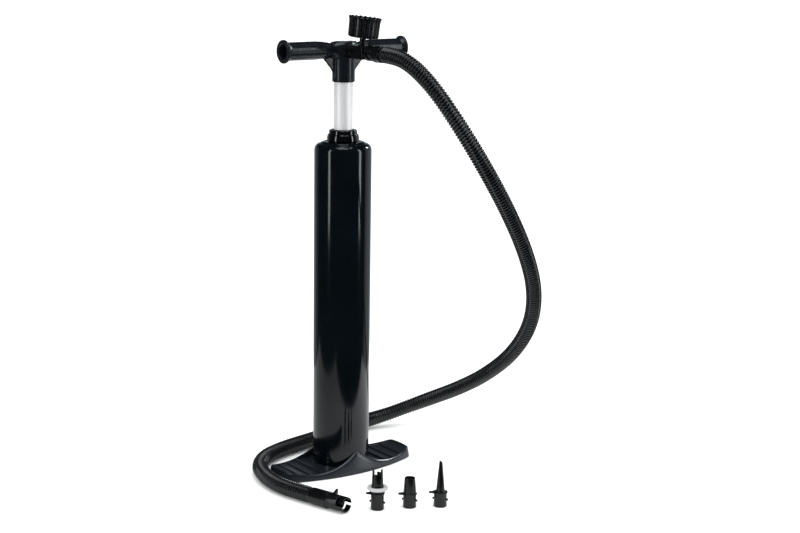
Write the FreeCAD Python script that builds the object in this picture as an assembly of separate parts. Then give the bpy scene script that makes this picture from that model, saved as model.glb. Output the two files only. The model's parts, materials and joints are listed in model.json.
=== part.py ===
import FreeCAD, Part
import math
import os

# Upright double-action hand pump, held down by the user's feet.
# Millimetres. X runs along the foot base and the handle, -Y is the outlet side, +Z is up.
# The origin is on the floor, on the barrel's axis.

V = FreeCAD.Vector
UP = V(0, 0, 1)
LIP = 0.05                     # radial play of a running fit

# Driving dimensions
BASE_HALF_LENGTH = 122.0
BASE_HALF_WIDTH = 54.0         # at the barrel
BASE_END_HALF_WIDTH = 28.0
BASE_CORNER_R = 12.0
BASE_LEAN = 8.0                # how far the side walls lean in over BASE_LOFT_Z
BASE_LOFT_Z = 45.0
RIM_LOW_X = 75.0               # where the rim is lowest
RIM_LOW_Z = 9.5
CUSP_Z = 38.0                  # top of the front and back walls against the barrel
RIM_END_R = 150.0
RIM_WIDTH = 4.5
TREAD_DROP = 2.2               # tread floor below the rim
TREAD_RIBS_X = (61.0, 80.0, 99.0)
TREAD_RIB_WIDTH = 4.5
SEAT_Z = 6.0                   # the barrel stands on this floor of the base

BARREL_R = 45.0
BARREL_BORE_R = 42.5
SHOULDER_Z = 518.0
NECK_Z = 530.5
NECK_TOP_Z = 540.0
NECK_R = 20.0
NECK_BORE_R = 18.0
INNER_TOP_Z = 526.0
GLAND_TOP_Z = 550.3

ROD_R = 15.0
ROD_BORE_R = 13.5
ROD_Z0 = 130.0
ROD_Z1 = 664.0

PISTON_Z0 = 98.0
PLATE_R = 42.0
PLATE_T = 8.0
SEAL_T = 10.0
CORE_R = 19.0
CORE_Z1 = 155.0
CHAMBER_R = 12.0

GRIP_Z = 674.9                 # axis of the handle
GRIP_R = 14.0
GRIP_END_X = 112.0
GRIP_FLANGE_R = 18.0
GRIP_NECK_X = 24.0
GRIP_TAPER_X = 48.0
GRIP_NECK_R = 10.5
GRIP_BORE_R = 11.0
SOCKET_Z = 625.0
SOCKET_R = 17.7
HUB_TOP_Z = 687.5
CROSS_PIN_R = 2.0
HANDLE_PIN_Z = 640.0
HANDLE_PIN_Y0 = -16.6          # blind end of its hole; it goes in from the back
PISTON_PIN_Z = 145.0

OUTLET_Z = 674.0               # axis of the outlet, along -Y
TEE_HALF_WIDTH = 12.0
TEE_HALF_HEIGHT = 10.2
TEE_Y0 = -18.4
TEE_Y1 = -66.0
COUPLING_PIN_R = 1.75
PLUG_R = 10.0                  # bayonet plug, on the outlet and on every nozzle
CUFF_BORE_R = 10.15
CUFF_R = 11.8
GRIP_CUFF_R = 12.6
HOOK_DEPTH = 11.0              # from a cuff's mouth to the middle of its hooked slot
HOOK_ANGLE = 125.0             # where a pin locks, round the cuff
ENTRY_ANGLE = 188.0            # where a pin enters
SLOT_WIDTH = 4.2
UPPER_PLUG_LENGTH = 23.0
UPPER_GRIP_LENGTH = 16.6
TAB_LENGTH = 9.0               # thumb tab, along the cuff

GAUGE_Y = -49.5
GAUGE_FOOT_Z = OUTLET_Z + TEE_HALF_HEIGHT
GAUGE_LEAN = 6.0               # degrees, the gauge stands slightly askew on its thread
GAUGE_LEAN_AXIS = V(0.566, 0.824, 0)
GAUGE_Z0 = 696.0
GAUGE_Z1 = 727.0
GAUGE_R0 = 23.0
GAUGE_R1 = 23.9
GAUGE_STEM_R = 4.85
GAUGE_CASE_R = 20.5            # case inside the ribbed cover
GAUGE_GLASS_R = 18.2
GAUGE_RIBS = 20

HOSE_R = 12.5
HOSE_BORE_R = 10.5
HOSE_ROUTE = (
    (0, -106, 674), (0, -142, 674), (3, -180, 661), (13, -214, 633), (34, -240, 588), (74, -256, 522),
    (125, -254, 450), (177, -240, 376), (225, -210, 304), (261, -162, 234), (278, -99, 168), (275, -32, 116),
    (262, 27, 80), (247, 71, 57), (223, 108, 36), (187, 130, 20), (141, 138, 13), (93, 127, 13), (43, 110, 13),
    (-8, 100, 13), (-56, 90, 13), (-102, 71, 13), (-136, 34, 13), (-151, -10, 13), (-155, -52, 13),
    (-148, -91, 13), (-137.5, -126, 13),
)
END_CUFF_LENGTH = 32.0
END_PLUG_LENGTH = 34.0
END_AXIS = V(10.5, -35, 0).normalize()

NOZZLE_PLACES = {"valve_adapter": (-69, -199), "tube_nozzle": (-23, -219), "cone_nozzle": (18, -242)}
NOZZLE_TAB_ANGLE = 147.0
NOZZLE_PIN_ANGLE = -55.0
NOZZLE_PIN_Z = 11.0


# Helpers

def cylinder(radius, z0, z1, x=0.0, y=0.0):
    return Part.makeCylinder(radius, z1 - z0, V(x, y, z0), UP)


def ring(outer, inner, z0, z1):
    return cylinder(outer, z0, z1).cut(cylinder(inner, z0 - 1, z1 + 1))


def box(x0, x1, y0, y1, z0, z1):
    return Part.makeBox(x1 - x0, y1 - y0, z1 - z0, V(x0, y0, z0))


def rod_along(start, direction, radius, length):
    return Part.makeCylinder(radius, length, start, direction)


def line(a, b):
    return Part.LineSegment(a, b).toShape()


def arc(a, b, c):
    return Part.Arc(a, b, c).toShape()


def revolve(points):
    """Turn a closed (radius, z) outline round the Z axis."""
    corners = [V(r, 0, z) for r, z in points]
    face = Part.Face(Part.makePolygon(corners + corners[:1]))
    return face.revolve(V(0, 0, 0), UP, 360)


def revolve_edges(edges):
    return Part.Face(Part.Wire(edges)).revolve(V(0, 0, 0), UP, 360)


def around(shape, count, first=0.0):
    """Copies of a shape, evenly spaced round the Z axis."""
    copies = []
    for i in range(count):
        copy = shape.copy()
        copy.rotate(V(0, 0, 0), UP, first + 360.0 * i / count)
        copies.append(copy)
    return copies


def fuse(first, *others):
    return first.multiFuse(list(others)).removeSplitter()


def lie_along(shape, start, direction):
    """Lay a shape drawn along +Z down, so that it starts at a point and runs along a direction."""
    shape.Placement = FreeCAD.Placement(start, FreeCAD.Rotation(UP, direction))
    return shape


def o_ring(inner, outer, z0, z1):
    """A seal squeezed in its groove: a ring with rounded edges."""
    seal = ring(outer, inner, z0, z1)
    return seal.makeFillet(min(outer - inner, z1 - z0) * 0.3, seal.Edges)


# Foot base

def base_plan(inset, z):
    """The base's outline: long bowed sides, short bowed ends, rounded corners."""
    half = BASE_HALF_LENGTH - inset
    middle = BASE_HALF_WIDTH - inset
    end = BASE_END_HALF_WIDTH - inset
    corner = [V(-half, -end, 0), V(half, -end, 0), V(half, end, 0), V(-half, end, 0)]
    bulge = [V(0, -middle, 0), V(half + 2, 0, 0), V(0, middle, 0), V(-half - 2, 0, 0)]
    sides = [arc(corner[i], bulge[i], corner[(i + 1) % 4]) for i in range(4)]
    slab = Part.Face(Part.Wire(sides)).extrude(UP)
    upright = [e for e in slab.Edges if abs(e.Vertexes[0].Z - e.Vertexes[-1].Z) > 0.5]
    slab = slab.makeFillet(max(BASE_CORNER_R - inset, 3), upright)
    bottom = min(slab.Faces, key=lambda f: f.CenterOfMass.z)
    wire = bottom.OuterWire.copy()
    wire.translate(V(0, 0, z))
    return wire


def base_block(inset):
    return Part.makeLoft([base_plan(inset, 0), base_plan(inset + BASE_LEAN, BASE_LOFT_Z)], True, True)


def rim_height(x):
    return RIM_LOW_Z + RIM_END_R - math.sqrt(RIM_END_R ** 2 - (x - RIM_LOW_X) ** 2)


def rim_curve(low_z, side, cusp_z):
    """Half of the rim, seen from the front: a hollow curve from the wall's peak to the raised end."""
    rise = cusp_z - low_z
    radius = (RIM_LOW_X ** 2 + rise ** 2) / (2 * rise)
    end_x = BASE_HALF_LENGTH + 6

    def inner(x):
        return low_z + radius - math.sqrt(radius ** 2 - (RIM_LOW_X - x) ** 2)

    def outer(x):
        return low_z + RIM_END_R - math.sqrt(RIM_END_R ** 2 - (x - RIM_LOW_X) ** 2)

    def point(x, z):
        return V(side * x, -80, z)

    middle_x = RIM_LOW_X / 2
    outer_x = (RIM_LOW_X + end_x) / 2
    low = point(RIM_LOW_X, low_z)
    return [arc(point(0, cusp_z), point(middle_x, inner(middle_x)), low),
            arc(low, point(outer_x, outer(outer_x)), point(end_x, outer(end_x)))]


def above_rim(low_z, cusp_z):
    """Everything above a rim curve, as a block to cut away."""
    right = rim_curve(low_z, 1, cusp_z)
    left = rim_curve(low_z, -1, cusp_z)
    end_x = BASE_HALF_LENGTH + 6
    end_z = right[1].Vertexes[-1].Z
    top = [V(end_x, -80, end_z), V(end_x, -80, 90), V(-end_x, -80, 90), V(-end_x, -80, end_z)]
    edges = right + left + [line(top[i], top[i + 1]) for i in range(3)]
    wire = Part.Wire(Part.__sortEdges__(edges))
    return Part.Face(wire).extrude(V(0, 160, 0))


def foot_base():
    body = base_block(0).cut(above_rim(RIM_LOW_Z, CUSP_Z))
    tread = base_block(RIM_WIDTH).common(above_rim(RIM_LOW_Z - TREAD_DROP, RIM_LOW_Z - TREAD_DROP + 0.5))
    for x in TREAD_RIBS_X:
        for side in (-1, 1):
            middle = side * x
            tread = tread.cut(box(middle - TREAD_RIB_WIDTH / 2, middle + TREAD_RIB_WIDTH / 2, -60, 60, 0,
                                  rim_height(x) - 0.3))
    body = body.cut(tread)
    body = fuse(body, cylinder(BARREL_R + 2.6, 1, 10.5))
    body = body.cut(cylinder(BARREL_R + LIP, SEAT_Z, 60))
    for hole in around(cylinder(3, -1, 10, 22), 8, 22.5):
        body = body.cut(hole)
    body = body.cut(ring(27, 17, -1, 1.6))
    body = body.cut(box(-6, 6, 22, 60, -1, 1.6))
    for hole in around(cylinder(2.1, -1, 10, 34), 4, 45):
        body = body.cut(hole)
    for hole in around(cylinder(4.2, -1, 3, 34), 4, 45):
        body = body.cut(hole)
    return body


def base_screws():
    screw = fuse(cylinder(3.9, 0.6, 2.9, 34), cylinder(1.6, 2.9, 17, 34))
    screw = screw.cut(cylinder(1.8, 0.5, 1.8, 34))
    return Part.makeCompound(around(screw, 4, 45))


# Bottom of the barrel

def bottom_cap():
    cap = cylinder(BARREL_BORE_R - 0.02, SEAT_Z, 20)
    cap = cap.cut(ring(60, BARREL_BORE_R - 2.2, 11, 14))
    for hole in around(cylinder(3, 0, 30, 22), 8, 22.5):
        cap = cap.cut(hole)
    for hole in around(cylinder(1.6, 0, 17.5, 34), 4, 45):
        cap = cap.cut(hole)
    return cap.cut(cylinder(1.95, 12, 30))


def bottom_cap_o_ring():
    return o_ring(BARREL_BORE_R - 2.2, BARREL_BORE_R, 11.2, 13.8)


def intake_flap():
    return ring(27.5, 2.0, 20, 21.4)


def intake_flap_pin():
    return fuse(cylinder(1.95, 12, 24), cylinder(7, 24, 25.5))


def lower_bumper():
    bumper = ring(40, 33, 20, 26)
    return bumper.makeFillet(1.5, [e for e in bumper.Edges if e.BoundBox.ZMin > 25])


# Barrel and gland

def barrel():
    profile = [
        line(V(BARREL_BORE_R, 0, SEAT_Z), V(BARREL_R, 0, SEAT_Z)),
        line(V(BARREL_R, 0, SEAT_Z), V(BARREL_R, 0, SHOULDER_Z)),
        arc(V(BARREL_R, 0, SHOULDER_Z), V(43.1, 0, 525.6), V(37.5, 0, 529.9)),
        arc(V(37.5, 0, 529.9), V(33.4, 0, 531.5), V(29, 0, 532.2)),
        line(V(29, 0, 532.2), V(25.5, 0, NECK_Z)),
        line(V(25.5, 0, NECK_Z), V(NECK_R, 0, NECK_Z)),
        line(V(NECK_R, 0, NECK_Z), V(NECK_R, 0, NECK_TOP_Z)),
        line(V(NECK_R, 0, NECK_TOP_Z), V(NECK_BORE_R, 0, NECK_TOP_Z)),
        line(V(NECK_BORE_R, 0, NECK_TOP_Z), V(NECK_BORE_R, 0, INNER_TOP_Z)),
        line(V(NECK_BORE_R, 0, INNER_TOP_Z), V(34, 0, INNER_TOP_Z)),
        arc(V(34, 0, INNER_TOP_Z), V(40, 0, 522.5), V(BARREL_BORE_R, 0, 514)),
        line(V(BARREL_BORE_R, 0, 514), V(BARREL_BORE_R, 0, SEAT_Z)),
    ]
    tube = revolve_edges(profile)
    for hole in around(cylinder(1.3, 500, 560, 22.6), 10):
        tube = tube.cut(hole)
    return tube


def rod_guide_bush():
    bush = fuse(cylinder(NECK_BORE_R, 512, NECK_TOP_Z), cylinder(NECK_R, NECK_TOP_Z, 542))
    return bush.cut(cylinder(ROD_R + LIP, 500, 560))


def upper_intake_ring():
    return ring(26, NECK_BORE_R + LIP, INNER_TOP_Z - 1.4, INNER_TOP_Z)


def upper_valve_retainer():
    plate = ring(28, NECK_BORE_R, 519.5, 522.5)
    for slot in around(cylinder(1.8, 500, 530, 24.4), 10, 18):
        plate = plate.cut(slot)
    return plate


def upper_bumper():
    bumper = ring(27, NECK_BORE_R, 511, 519.5)
    return bumper.makeFillet(2, [e for e in bumper.Edges if e.BoundBox.ZMax < 512])


def gland_nut():
    nut = revolve([(22.6, 530.7), (25.3, 534.2), (25.3, 538.2), (24.1, 542.8), (22.3, 543.6), (21.9, 549.2),
                   (20.8, GLAND_TOP_Z), (17.55, GLAND_TOP_Z), (17.55, 545.6), (NECK_R, 545.6), (NECK_R, 534),
                   (21.6, 532.6), (21.6, 530.7)])
    return nut


def rod_seal():
    return ring(NECK_R - 0.1, ROD_R + LIP, 542, 545.6)


def rod_wiper():
    wiper = ring(17.5, ROD_R + LIP, 545.8, 551)
    return wiper.makeChamfer(0.8, [e for e in wiper.Edges if e.BoundBox.ZMin > 550.9 and e.BoundBox.XMax > 16])


# Rod and piston

def rod():
    tube = ring(ROD_R, ROD_BORE_R, ROD_Z0, ROD_Z1)
    tube = tube.cut(rod_along(V(-30, 0, PISTON_PIN_Z), V(1, 0, 0), CROSS_PIN_R, 60))
    return tube.cut(rod_along(V(0, -30, HANDLE_PIN_Z), V(0, 1, 0), CROSS_PIN_R, 60))


def piston_lower_plate():
    plate = cylinder(PLATE_R, PISTON_Z0, PISTON_Z0 + PLATE_T)
    plate = plate.makeFillet(1.5, [e for e in plate.Edges if e.BoundBox.ZMax < PISTON_Z0 + 1])
    for hole in around(cylinder(1.9, 0, 200, 6), 6):
        plate = plate.cut(hole)
    for hole in around(cylinder(2.2, 0, 200, 28), 3, 30):
        plate = plate.cut(hole)
    for hole in around(cylinder(3.9, PISTON_Z0 - 1, PISTON_Z0 + 3, 28), 3, 30):
        plate = plate.cut(hole)
    return plate


def piston_upper_plate():
    z0 = PISTON_Z0 + PLATE_T + SEAL_T
    plate = fuse(cylinder(PLATE_R, z0, z0 + PLATE_T), cylinder(36, z0 - SEAL_T, z0))
    plate = plate.cut(cylinder(CORE_R, 0, 200))
    for hole in around(cylinder(1.8, 0, z0 + 4, 28), 3, 30):
        plate = plate.cut(hole)
    return plate


def piston_seal():
    z0 = PISTON_Z0 + PLATE_T
    lip = BARREL_BORE_R - LIP
    return revolve([(36, z0), (40.5, z0), (lip, z0 + 1.5), (lip, z0 + 3.2), (41, z0 + SEAL_T / 2),
                    (lip, z0 + SEAL_T - 3.2), (lip, z0 + SEAL_T - 1.5), (40.5, z0 + SEAL_T), (36, z0 + SEAL_T)])


def piston_core():
    z0 = PISTON_Z0 + PLATE_T
    core = cylinder(CORE_R, z0, CORE_Z1)
    core = core.cut(cylinder(CHAMBER_R, z0 - 1, ROD_Z0 + 1))
    core = core.cut(cylinder(ROD_R, ROD_Z0, CORE_Z1 + 1))
    for port in around(rod_along(V(8, 0, 127), V(1, 0, 0), 1.6, 20), 6, 30):
        core = core.cut(port)
    core = core.cut(rod_along(V(-30, 0, PISTON_PIN_Z), V(1, 0, 0), CROSS_PIN_R, 60))
    return core.makeFillet(2, [e for e in core.Edges if e.BoundBox.ZMin > CORE_Z1 - 0.5 and e.BoundBox.XMax > 18])


def piston_check_disc():
    return cylinder(9.5, PISTON_Z0 + PLATE_T, PISTON_Z0 + PLATE_T + 1.4)


def piston_valve_cage():
    z0 = PISTON_Z0 + PLATE_T
    cage = ring(CHAMBER_R, 10.2, z0, z0 + 8)
    bars = [box(-11, 11, -1.5, 1.5, z0 + 4.4, z0 + 8), box(-1.5, 1.5, -11, 11, z0 + 4.4, z0 + 8)]
    return fuse(cage, *bars)


def piston_check_band():
    return ring(CHAMBER_R, 10.8, 123.5, 130)


def piston_pin():
    return rod_along(V(-CORE_R, 0, PISTON_PIN_Z), V(1, 0, 0), CROSS_PIN_R, 2 * CORE_R)


def piston_screws():
    head_z = PISTON_Z0 + 0.6
    screw = fuse(cylinder(3.7, head_z, PISTON_Z0 + 3, 28), cylinder(1.8, PISTON_Z0 + 3, PISTON_Z0 + PLATE_T + 14, 28))
    return Part.makeCompound(around(screw, 3, 30))


# Handle

def along_x(points):
    """Turn a closed (distance along +X, radius) outline round the handle's axis."""
    corners = [V(x, 0, GRIP_Z + r) for x, r in points]
    face = Part.Face(Part.makePolygon(corners + corners[:1]))
    return face.revolve(V(0, 0, GRIP_Z), V(1, 0, 0), 360)


def grip():
    outline = [(0, 0), (0, GRIP_NECK_R), (GRIP_NECK_X, GRIP_NECK_R), (GRIP_TAPER_X - 8, GRIP_R - 0.9),
               (GRIP_TAPER_X, GRIP_R), (GRIP_END_X - 10, GRIP_R), (GRIP_END_X - 7, GRIP_R + 1),
               (GRIP_END_X - 4, GRIP_FLANGE_R - 0.6), (GRIP_END_X - 2.6, GRIP_FLANGE_R),
               (GRIP_END_X - 0.8, GRIP_FLANGE_R), (GRIP_END_X, GRIP_FLANGE_R - 0.8),
               (GRIP_END_X, GRIP_BORE_R + 1), (GRIP_END_X - 1, GRIP_BORE_R), (GRIP_TAPER_X + 6, GRIP_BORE_R),
               (GRIP_TAPER_X + 2, GRIP_BORE_R - 3), (GRIP_TAPER_X + 2, 0)]
    return along_x(outline)


def gusset():
    corners = [V(0, -1.6, 668), V(40, -1.6, 664.5), V(SOCKET_R, -1.6, 636), V(0, -1.6, 636)]
    return Part.Face(Part.makePolygon(corners + corners[:1])).extrude(V(0, 3.2, 0))


def handle():
    right = [grip(), gusset(), cylinder(2.6, GRIP_Z, GRIP_Z + 12.6, 21)]
    left = [shape.mirror(V(0, 0, 0), V(1, 0, 0)) for shape in right]
    hub = revolve([(0, SOCKET_Z), (SOCKET_R - 0.8, SOCKET_Z), (SOCKET_R, SOCKET_Z + 0.8), (SOCKET_R, 662),
                   (SOCKET_R + 0.6, 668), (SOCKET_R + 0.6, 682), (SOCKET_R - 1.4, HUB_TOP_Z - 1.5),
                   (SOCKET_R - 3, HUB_TOP_Z - 0.6), (0, HUB_TOP_Z - 0.6)])
    outlet = rod_along(V(0, 0, OUTLET_Z), V(0, -1, 0), 8.4, 27)
    body = fuse(hub, outlet, *(right + left))
    body = body.cut(cylinder(ROD_R, SOCKET_Z - 1, ROD_Z1))
    body = body.cut(cylinder(11, ROD_Z1 - 1, 683))
    body = body.cut(cylinder(13, 683, 700))
    body = body.cut(rod_along(V(0, 0, OUTLET_Z), V(0, -1, 0), 6, 40))
    body = body.cut(rod_along(V(0, HANDLE_PIN_Y0, HANDLE_PIN_Z), V(0, 1, 0), CROSS_PIN_R, 60))
    return body.cut(ring(ROD_R + 1.6, ROD_R - 1, 655, 658))


def handle_pin():
    return rod_along(V(0, HANDLE_PIN_Y0, HANDLE_PIN_Z), V(0, 1, 0), CROSS_PIN_R, SOCKET_R - 0.2 - HANDLE_PIN_Y0)


def rod_top_o_ring():
    return ring(ROD_R + 1.6, ROD_R, 655.2, 657.8)


def hub_cap():
    cap = cylinder(13, 683, HUB_TOP_Z)
    return cap.makeFillet(1.2, [e for e in cap.Edges if e.BoundBox.ZMin > HUB_TOP_Z - 0.5])


# Bayonet coupling

def hooked_slots(top):
    """Two slots that run in from the mouth and then round the wall to the place where a pin locks."""
    middle = top - HOOK_DEPTH
    entry = box(0, 14, -SLOT_WIDTH / 2, SLOT_WIDTH / 2, middle, top + 1)
    entry.rotate(V(0, 0, 0), UP, ENTRY_ANGLE)
    lock = rod_along(V(0, 0, middle), V(1, 0, 0), SLOT_WIDTH / 2 + 0.2, 14)
    lock.rotate(V(0, 0, 0), UP, HOOK_ANGLE)
    low = middle - SLOT_WIDTH / 2
    band = Part.Face(Part.makePolygon([V(9, 0, low), V(14, 0, low), V(14, 0, low + SLOT_WIDTH),
                                       V(9, 0, low + SLOT_WIDTH), V(9, 0, low)]))
    band = band.revolve(V(0, 0, 0), UP, ENTRY_ANGLE - HOOK_ANGLE)
    band.rotate(V(0, 0, 0), UP, HOOK_ANGLE)
    slot = entry.multiFuse([lock, band])
    return around(slot, 2)


def bayonet_cuff(plug_length, grip_length, tab_z, tab_height):
    """A cuff drawn along +Z, its grip first and its open bayonet mouth last."""
    top = grip_length + plug_length
    cuff = revolve([(0, 0), (GRIP_CUFF_R - 0.4, 0), (GRIP_CUFF_R, 0.6), (GRIP_CUFF_R, grip_length - 3),
                    (GRIP_CUFF_R + 0.4, grip_length - 2), (GRIP_CUFF_R + 0.4, grip_length),
                    (CUFF_R, grip_length + 0.8), (CUFF_R, top), (0, top)])
    cuff = cuff.cut(cylinder(HOSE_BORE_R, -1, grip_length + 1)).cut(cylinder(CUFF_BORE_R, grip_length, top + 1))
    for slot in hooked_slots(top):
        cuff = cuff.cut(slot)
    root = CUFF_R - 1
    crest = CUFF_R + tab_height
    tab = Part.Face(Part.makePolygon([V(0, root, tab_z), V(0, root, tab_z + TAB_LENGTH),
                                      V(0, crest, tab_z + TAB_LENGTH - 1), V(0, crest, tab_z + TAB_LENGTH - 2.5),
                                      V(0, root, tab_z)])).extrude(V(3, 0, 0))
    tab.translate(V(-1.5, 0, 0))
    return fuse(cuff, tab)


# Pressure gauge between the handle and the hose

def tee_body():
    block = box(-TEE_HALF_WIDTH, TEE_HALF_WIDTH, TEE_Y1, TEE_Y0, OUTLET_Z - TEE_HALF_HEIGHT,
                OUTLET_Z + TEE_HALF_HEIGHT)
    block = block.makeFillet(1.6, [e for e in block.Edges if e.BoundBox.YMax - e.BoundBox.YMin > 20])
    block = block.makeFillet(0.8, [e for e in block.Edges if e.BoundBox.YMax < TEE_Y1 + 0.1])
    plug = rod_along(V(0, TEE_Y1 + 1, OUTLET_Z), V(0, -1, 0), PLUG_R, 23)
    pins = rod_along(V(0, 0, -12.2), UP, COUPLING_PIN_R, 24.4)
    pins.rotate(V(0, 0, 0), V(0, 1, 0), HOOK_ANGLE - 90)
    pins.translate(V(0, TEE_Y1 - 0.4 - HOOK_DEPTH, OUTLET_Z))
    boss = lean(cylinder(6.4, GAUGE_FOOT_Z - 2, GAUGE_FOOT_Z + 1.6, 0, GAUGE_Y))
    body = fuse(block, plug, pins, boss)
    body = body.cut(rod_along(V(0, 0, OUTLET_Z), V(0, -1, 0), 6.5, 120))
    body = body.cut(rod_along(V(0, TEE_Y0 + 1, OUTLET_Z), V(0, -1, 0), 8.5, 10.8))
    return body.cut(lean(cylinder(3.0, OUTLET_Z, GAUGE_FOOT_Z + 5, 0, GAUGE_Y)))


def tee_o_ring():
    seal = ring(8.45, 6.5, 0, 1.2)
    return lie_along(seal, V(0, TEE_Y0 - 8.6, OUTLET_Z), V(0, 1, 0).multiply(-1))


def lean(shape):
    shape.rotate(V(0, GAUGE_Y, GAUGE_FOOT_Z), GAUGE_LEAN_AXIS, GAUGE_LEAN)
    return shape


def at_gauge(shape):
    """Move a piece drawn on the Z axis to the gauge's stem, which leans slightly."""
    shape.translate(V(0, GAUGE_Y, 0))
    return lean(shape)


def gauge_case():
    case = revolve([(0, GAUGE_FOOT_Z - 6), (3.0, GAUGE_FOOT_Z - 6), (3.0, GAUGE_FOOT_Z + 2),
                    (GAUGE_STEM_R, GAUGE_FOOT_Z + 2.6), (GAUGE_STEM_R, GAUGE_Z0 - 0.5),
                    (GAUGE_CASE_R - 1.6, GAUGE_Z0 + 1), (GAUGE_CASE_R, GAUGE_Z0 + 2.6), (GAUGE_CASE_R, GAUGE_Z1 - 4),
                    (GAUGE_GLASS_R, GAUGE_Z1 - 4), (GAUGE_GLASS_R, GAUGE_Z0 + 3), (1.4, GAUGE_Z0 + 3),
                    (1.4, GAUGE_FOOT_Z - 5.5), (0, GAUGE_FOOT_Z - 5.5)])
    case = case.cut(cylinder(1.4, GAUGE_FOOT_Z - 10, GAUGE_Z0 + 5))
    return at_gauge(case)


def gauge_cover():
    """Ribbed sleeve round the gauge, a little wider at its toothed top."""
    bezel_r = GAUGE_CASE_R + 0.9
    wall = revolve([(GAUGE_CASE_R, GAUGE_Z0 + 1.6), (GAUGE_R0, GAUGE_Z0 + 1.6), (GAUGE_R1, GAUGE_Z1),
                    (bezel_r, GAUGE_Z1), (bezel_r, GAUGE_Z1 - 4), (GAUGE_CASE_R, GAUGE_Z1 - 4)])
    floor = revolve([(6, GAUGE_Z0), (GAUGE_R0 - 1.6, GAUGE_Z0), (GAUGE_R0, GAUGE_Z0 + 1.6), (6, GAUGE_Z0 + 1.6)])
    floor = floor.cut(revolve([(0, GAUGE_Z0 - 0.6), (GAUGE_STEM_R, GAUGE_Z0 - 0.5), (GAUGE_CASE_R - 1.6, GAUGE_Z0 + 1),
                               (GAUGE_CASE_R, GAUGE_Z0 + 2.6), (0, GAUGE_Z0 + 2.6)]))
    foot_z = GAUGE_Z0 + 1.6
    corners = [V(GAUGE_R0 - 1, -1.5, foot_z), V(GAUGE_R0 - 1, 1.5, foot_z), V(GAUGE_R0 + 1, 1.0, foot_z),
               V(GAUGE_R0 + 1, -1.0, foot_z)]
    foot = Part.makePolygon(corners + corners[:1])
    head = foot.copy()
    head.translate(V(GAUGE_R1 - GAUGE_R0, 0, GAUGE_Z1 + 1 - foot_z))
    rib = Part.makeLoft([foot, head], True, True)
    return at_gauge(fuse(wall, floor, *around(rib, GAUGE_RIBS)))


def gauge_capsule():
    """Pressure capsule and its bearing post, which drive the pointer."""
    return at_gauge(fuse(cylinder(9, GAUGE_Z0 + 3, GAUGE_Z0 + 11), cylinder(2.2, GAUGE_Z0 + 11, GAUGE_Z0 + 16))
                    .cut(cylinder(0.85, GAUGE_Z0 + 12, GAUGE_Z0 + 30)))


def gauge_dial():
    return at_gauge(ring(GAUGE_GLASS_R, 0.95, GAUGE_Z0 + 20, GAUGE_Z0 + 21))


def gauge_pointer():
    staff = cylinder(0.8, GAUGE_Z0 + 12.2, GAUGE_Z0 + 22)
    hub = cylinder(2.2, GAUGE_Z0 + 21.6, GAUGE_Z0 + 23)
    corners = [V(-1.1, 0, GAUGE_Z0 + 21.8), V(1.1, 0, GAUGE_Z0 + 21.8), V(0.3, 14.5, GAUGE_Z0 + 21.8),
               V(-0.3, 14.5, GAUGE_Z0 + 21.8)]
    blade = Part.Face(Part.makePolygon(corners + corners[:1])).extrude(V(0, 0, 0.8))
    tail = box(-1, 1, -5, 0, GAUGE_Z0 + 21.8, GAUGE_Z0 + 22.6)
    pointer = fuse(staff, hub, blade, tail)
    pointer.rotate(V(0, 0, 0), UP, 135)
    return at_gauge(pointer)


def gauge_lens():
    return at_gauge(cylinder(GAUGE_GLASS_R, GAUGE_Z0 + 24.2, GAUGE_Z0 + 25.8))


def gauge_bezel():
    return at_gauge(ring(GAUGE_CASE_R + 0.9, 16.6, GAUGE_Z0 + 27, GAUGE_Z0 + 29))


def gauge_stem_seal():
    return at_gauge(ring(4.2, 3.0, GAUGE_FOOT_Z + 1.6, GAUGE_FOOT_Z + 2.0))


# Hose

def hose_path(points):
    """Straight runs joined by arcs that are as large as the runs allow."""
    corners = [V(*p) for p in points]
    edges = []
    here = corners[0]
    radii = []
    for i in range(1, len(corners) - 1):
        back = corners[i - 1] - corners[i]
        ahead = corners[i + 1] - corners[i]
        reach = 0.45 * min(back.Length, ahead.Length)
        turn = math.pi - back.getAngle(ahead)
        back.normalize()
        ahead.normalize()
        start = corners[i] + back * reach
        end = corners[i] + ahead * reach
        radius = reach / math.tan(turn / 2)
        middle_way = (back + ahead).normalize()
        middle = corners[i] + middle_way * (math.hypot(radius, reach) - radius)
        edges += [line(here, start), arc(start, middle, end)]
        here = end
        radii.append(radius)
    edges.append(line(here, corners[-1]))
    return Part.Wire(edges), radii


def hose():
    path, radii = hose_path(HOSE_ROUTE)
    start = V(*HOSE_ROUTE[0])
    heading = V(*HOSE_ROUTE[1]) - start
    tubes = []
    for radius in (HOSE_R, HOSE_BORE_R):
        section = Part.Wire(Part.makeCircle(radius, start, heading))
        tubes.append(path.makePipeShell([section], True, False))
    tube = tubes[0].cut(tubes[1])
    section_area = math.pi * (HOSE_R ** 2 - HOSE_BORE_R ** 2)
    print("hose length %.1f mm, smallest radius %.1f mm" % (path.Length, min(radii)))
    print("hose radii", [round(r) for r in radii])
    print("hose volume / (section x length) %.4f" % (tube.Volume / (section_area * path.Length)))
    return tube


def upper_hose_cuff():
    tab_z = UPPER_GRIP_LENGTH + UPPER_PLUG_LENGTH - TAB_LENGTH - 0.8
    cuff = bayonet_cuff(UPPER_PLUG_LENGTH, UPPER_GRIP_LENGTH, tab_z, 5.4)
    cuff.rotate(V(0, 0, 0), UP, 180)
    cuff.rotate(V(0, 0, 0), V(1, 0, 0), -90)
    cuff.translate(V(*HOSE_ROUTE[0]))
    return cuff


def hose_end_fitting():
    fitting = bayonet_cuff(END_PLUG_LENGTH, END_CUFF_LENGTH, END_CUFF_LENGTH + 4, 8)
    return lie_along(fitting, V(*HOSE_ROUTE[-1]), END_AXIS)


# Nozzles, standing on the floor

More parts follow.
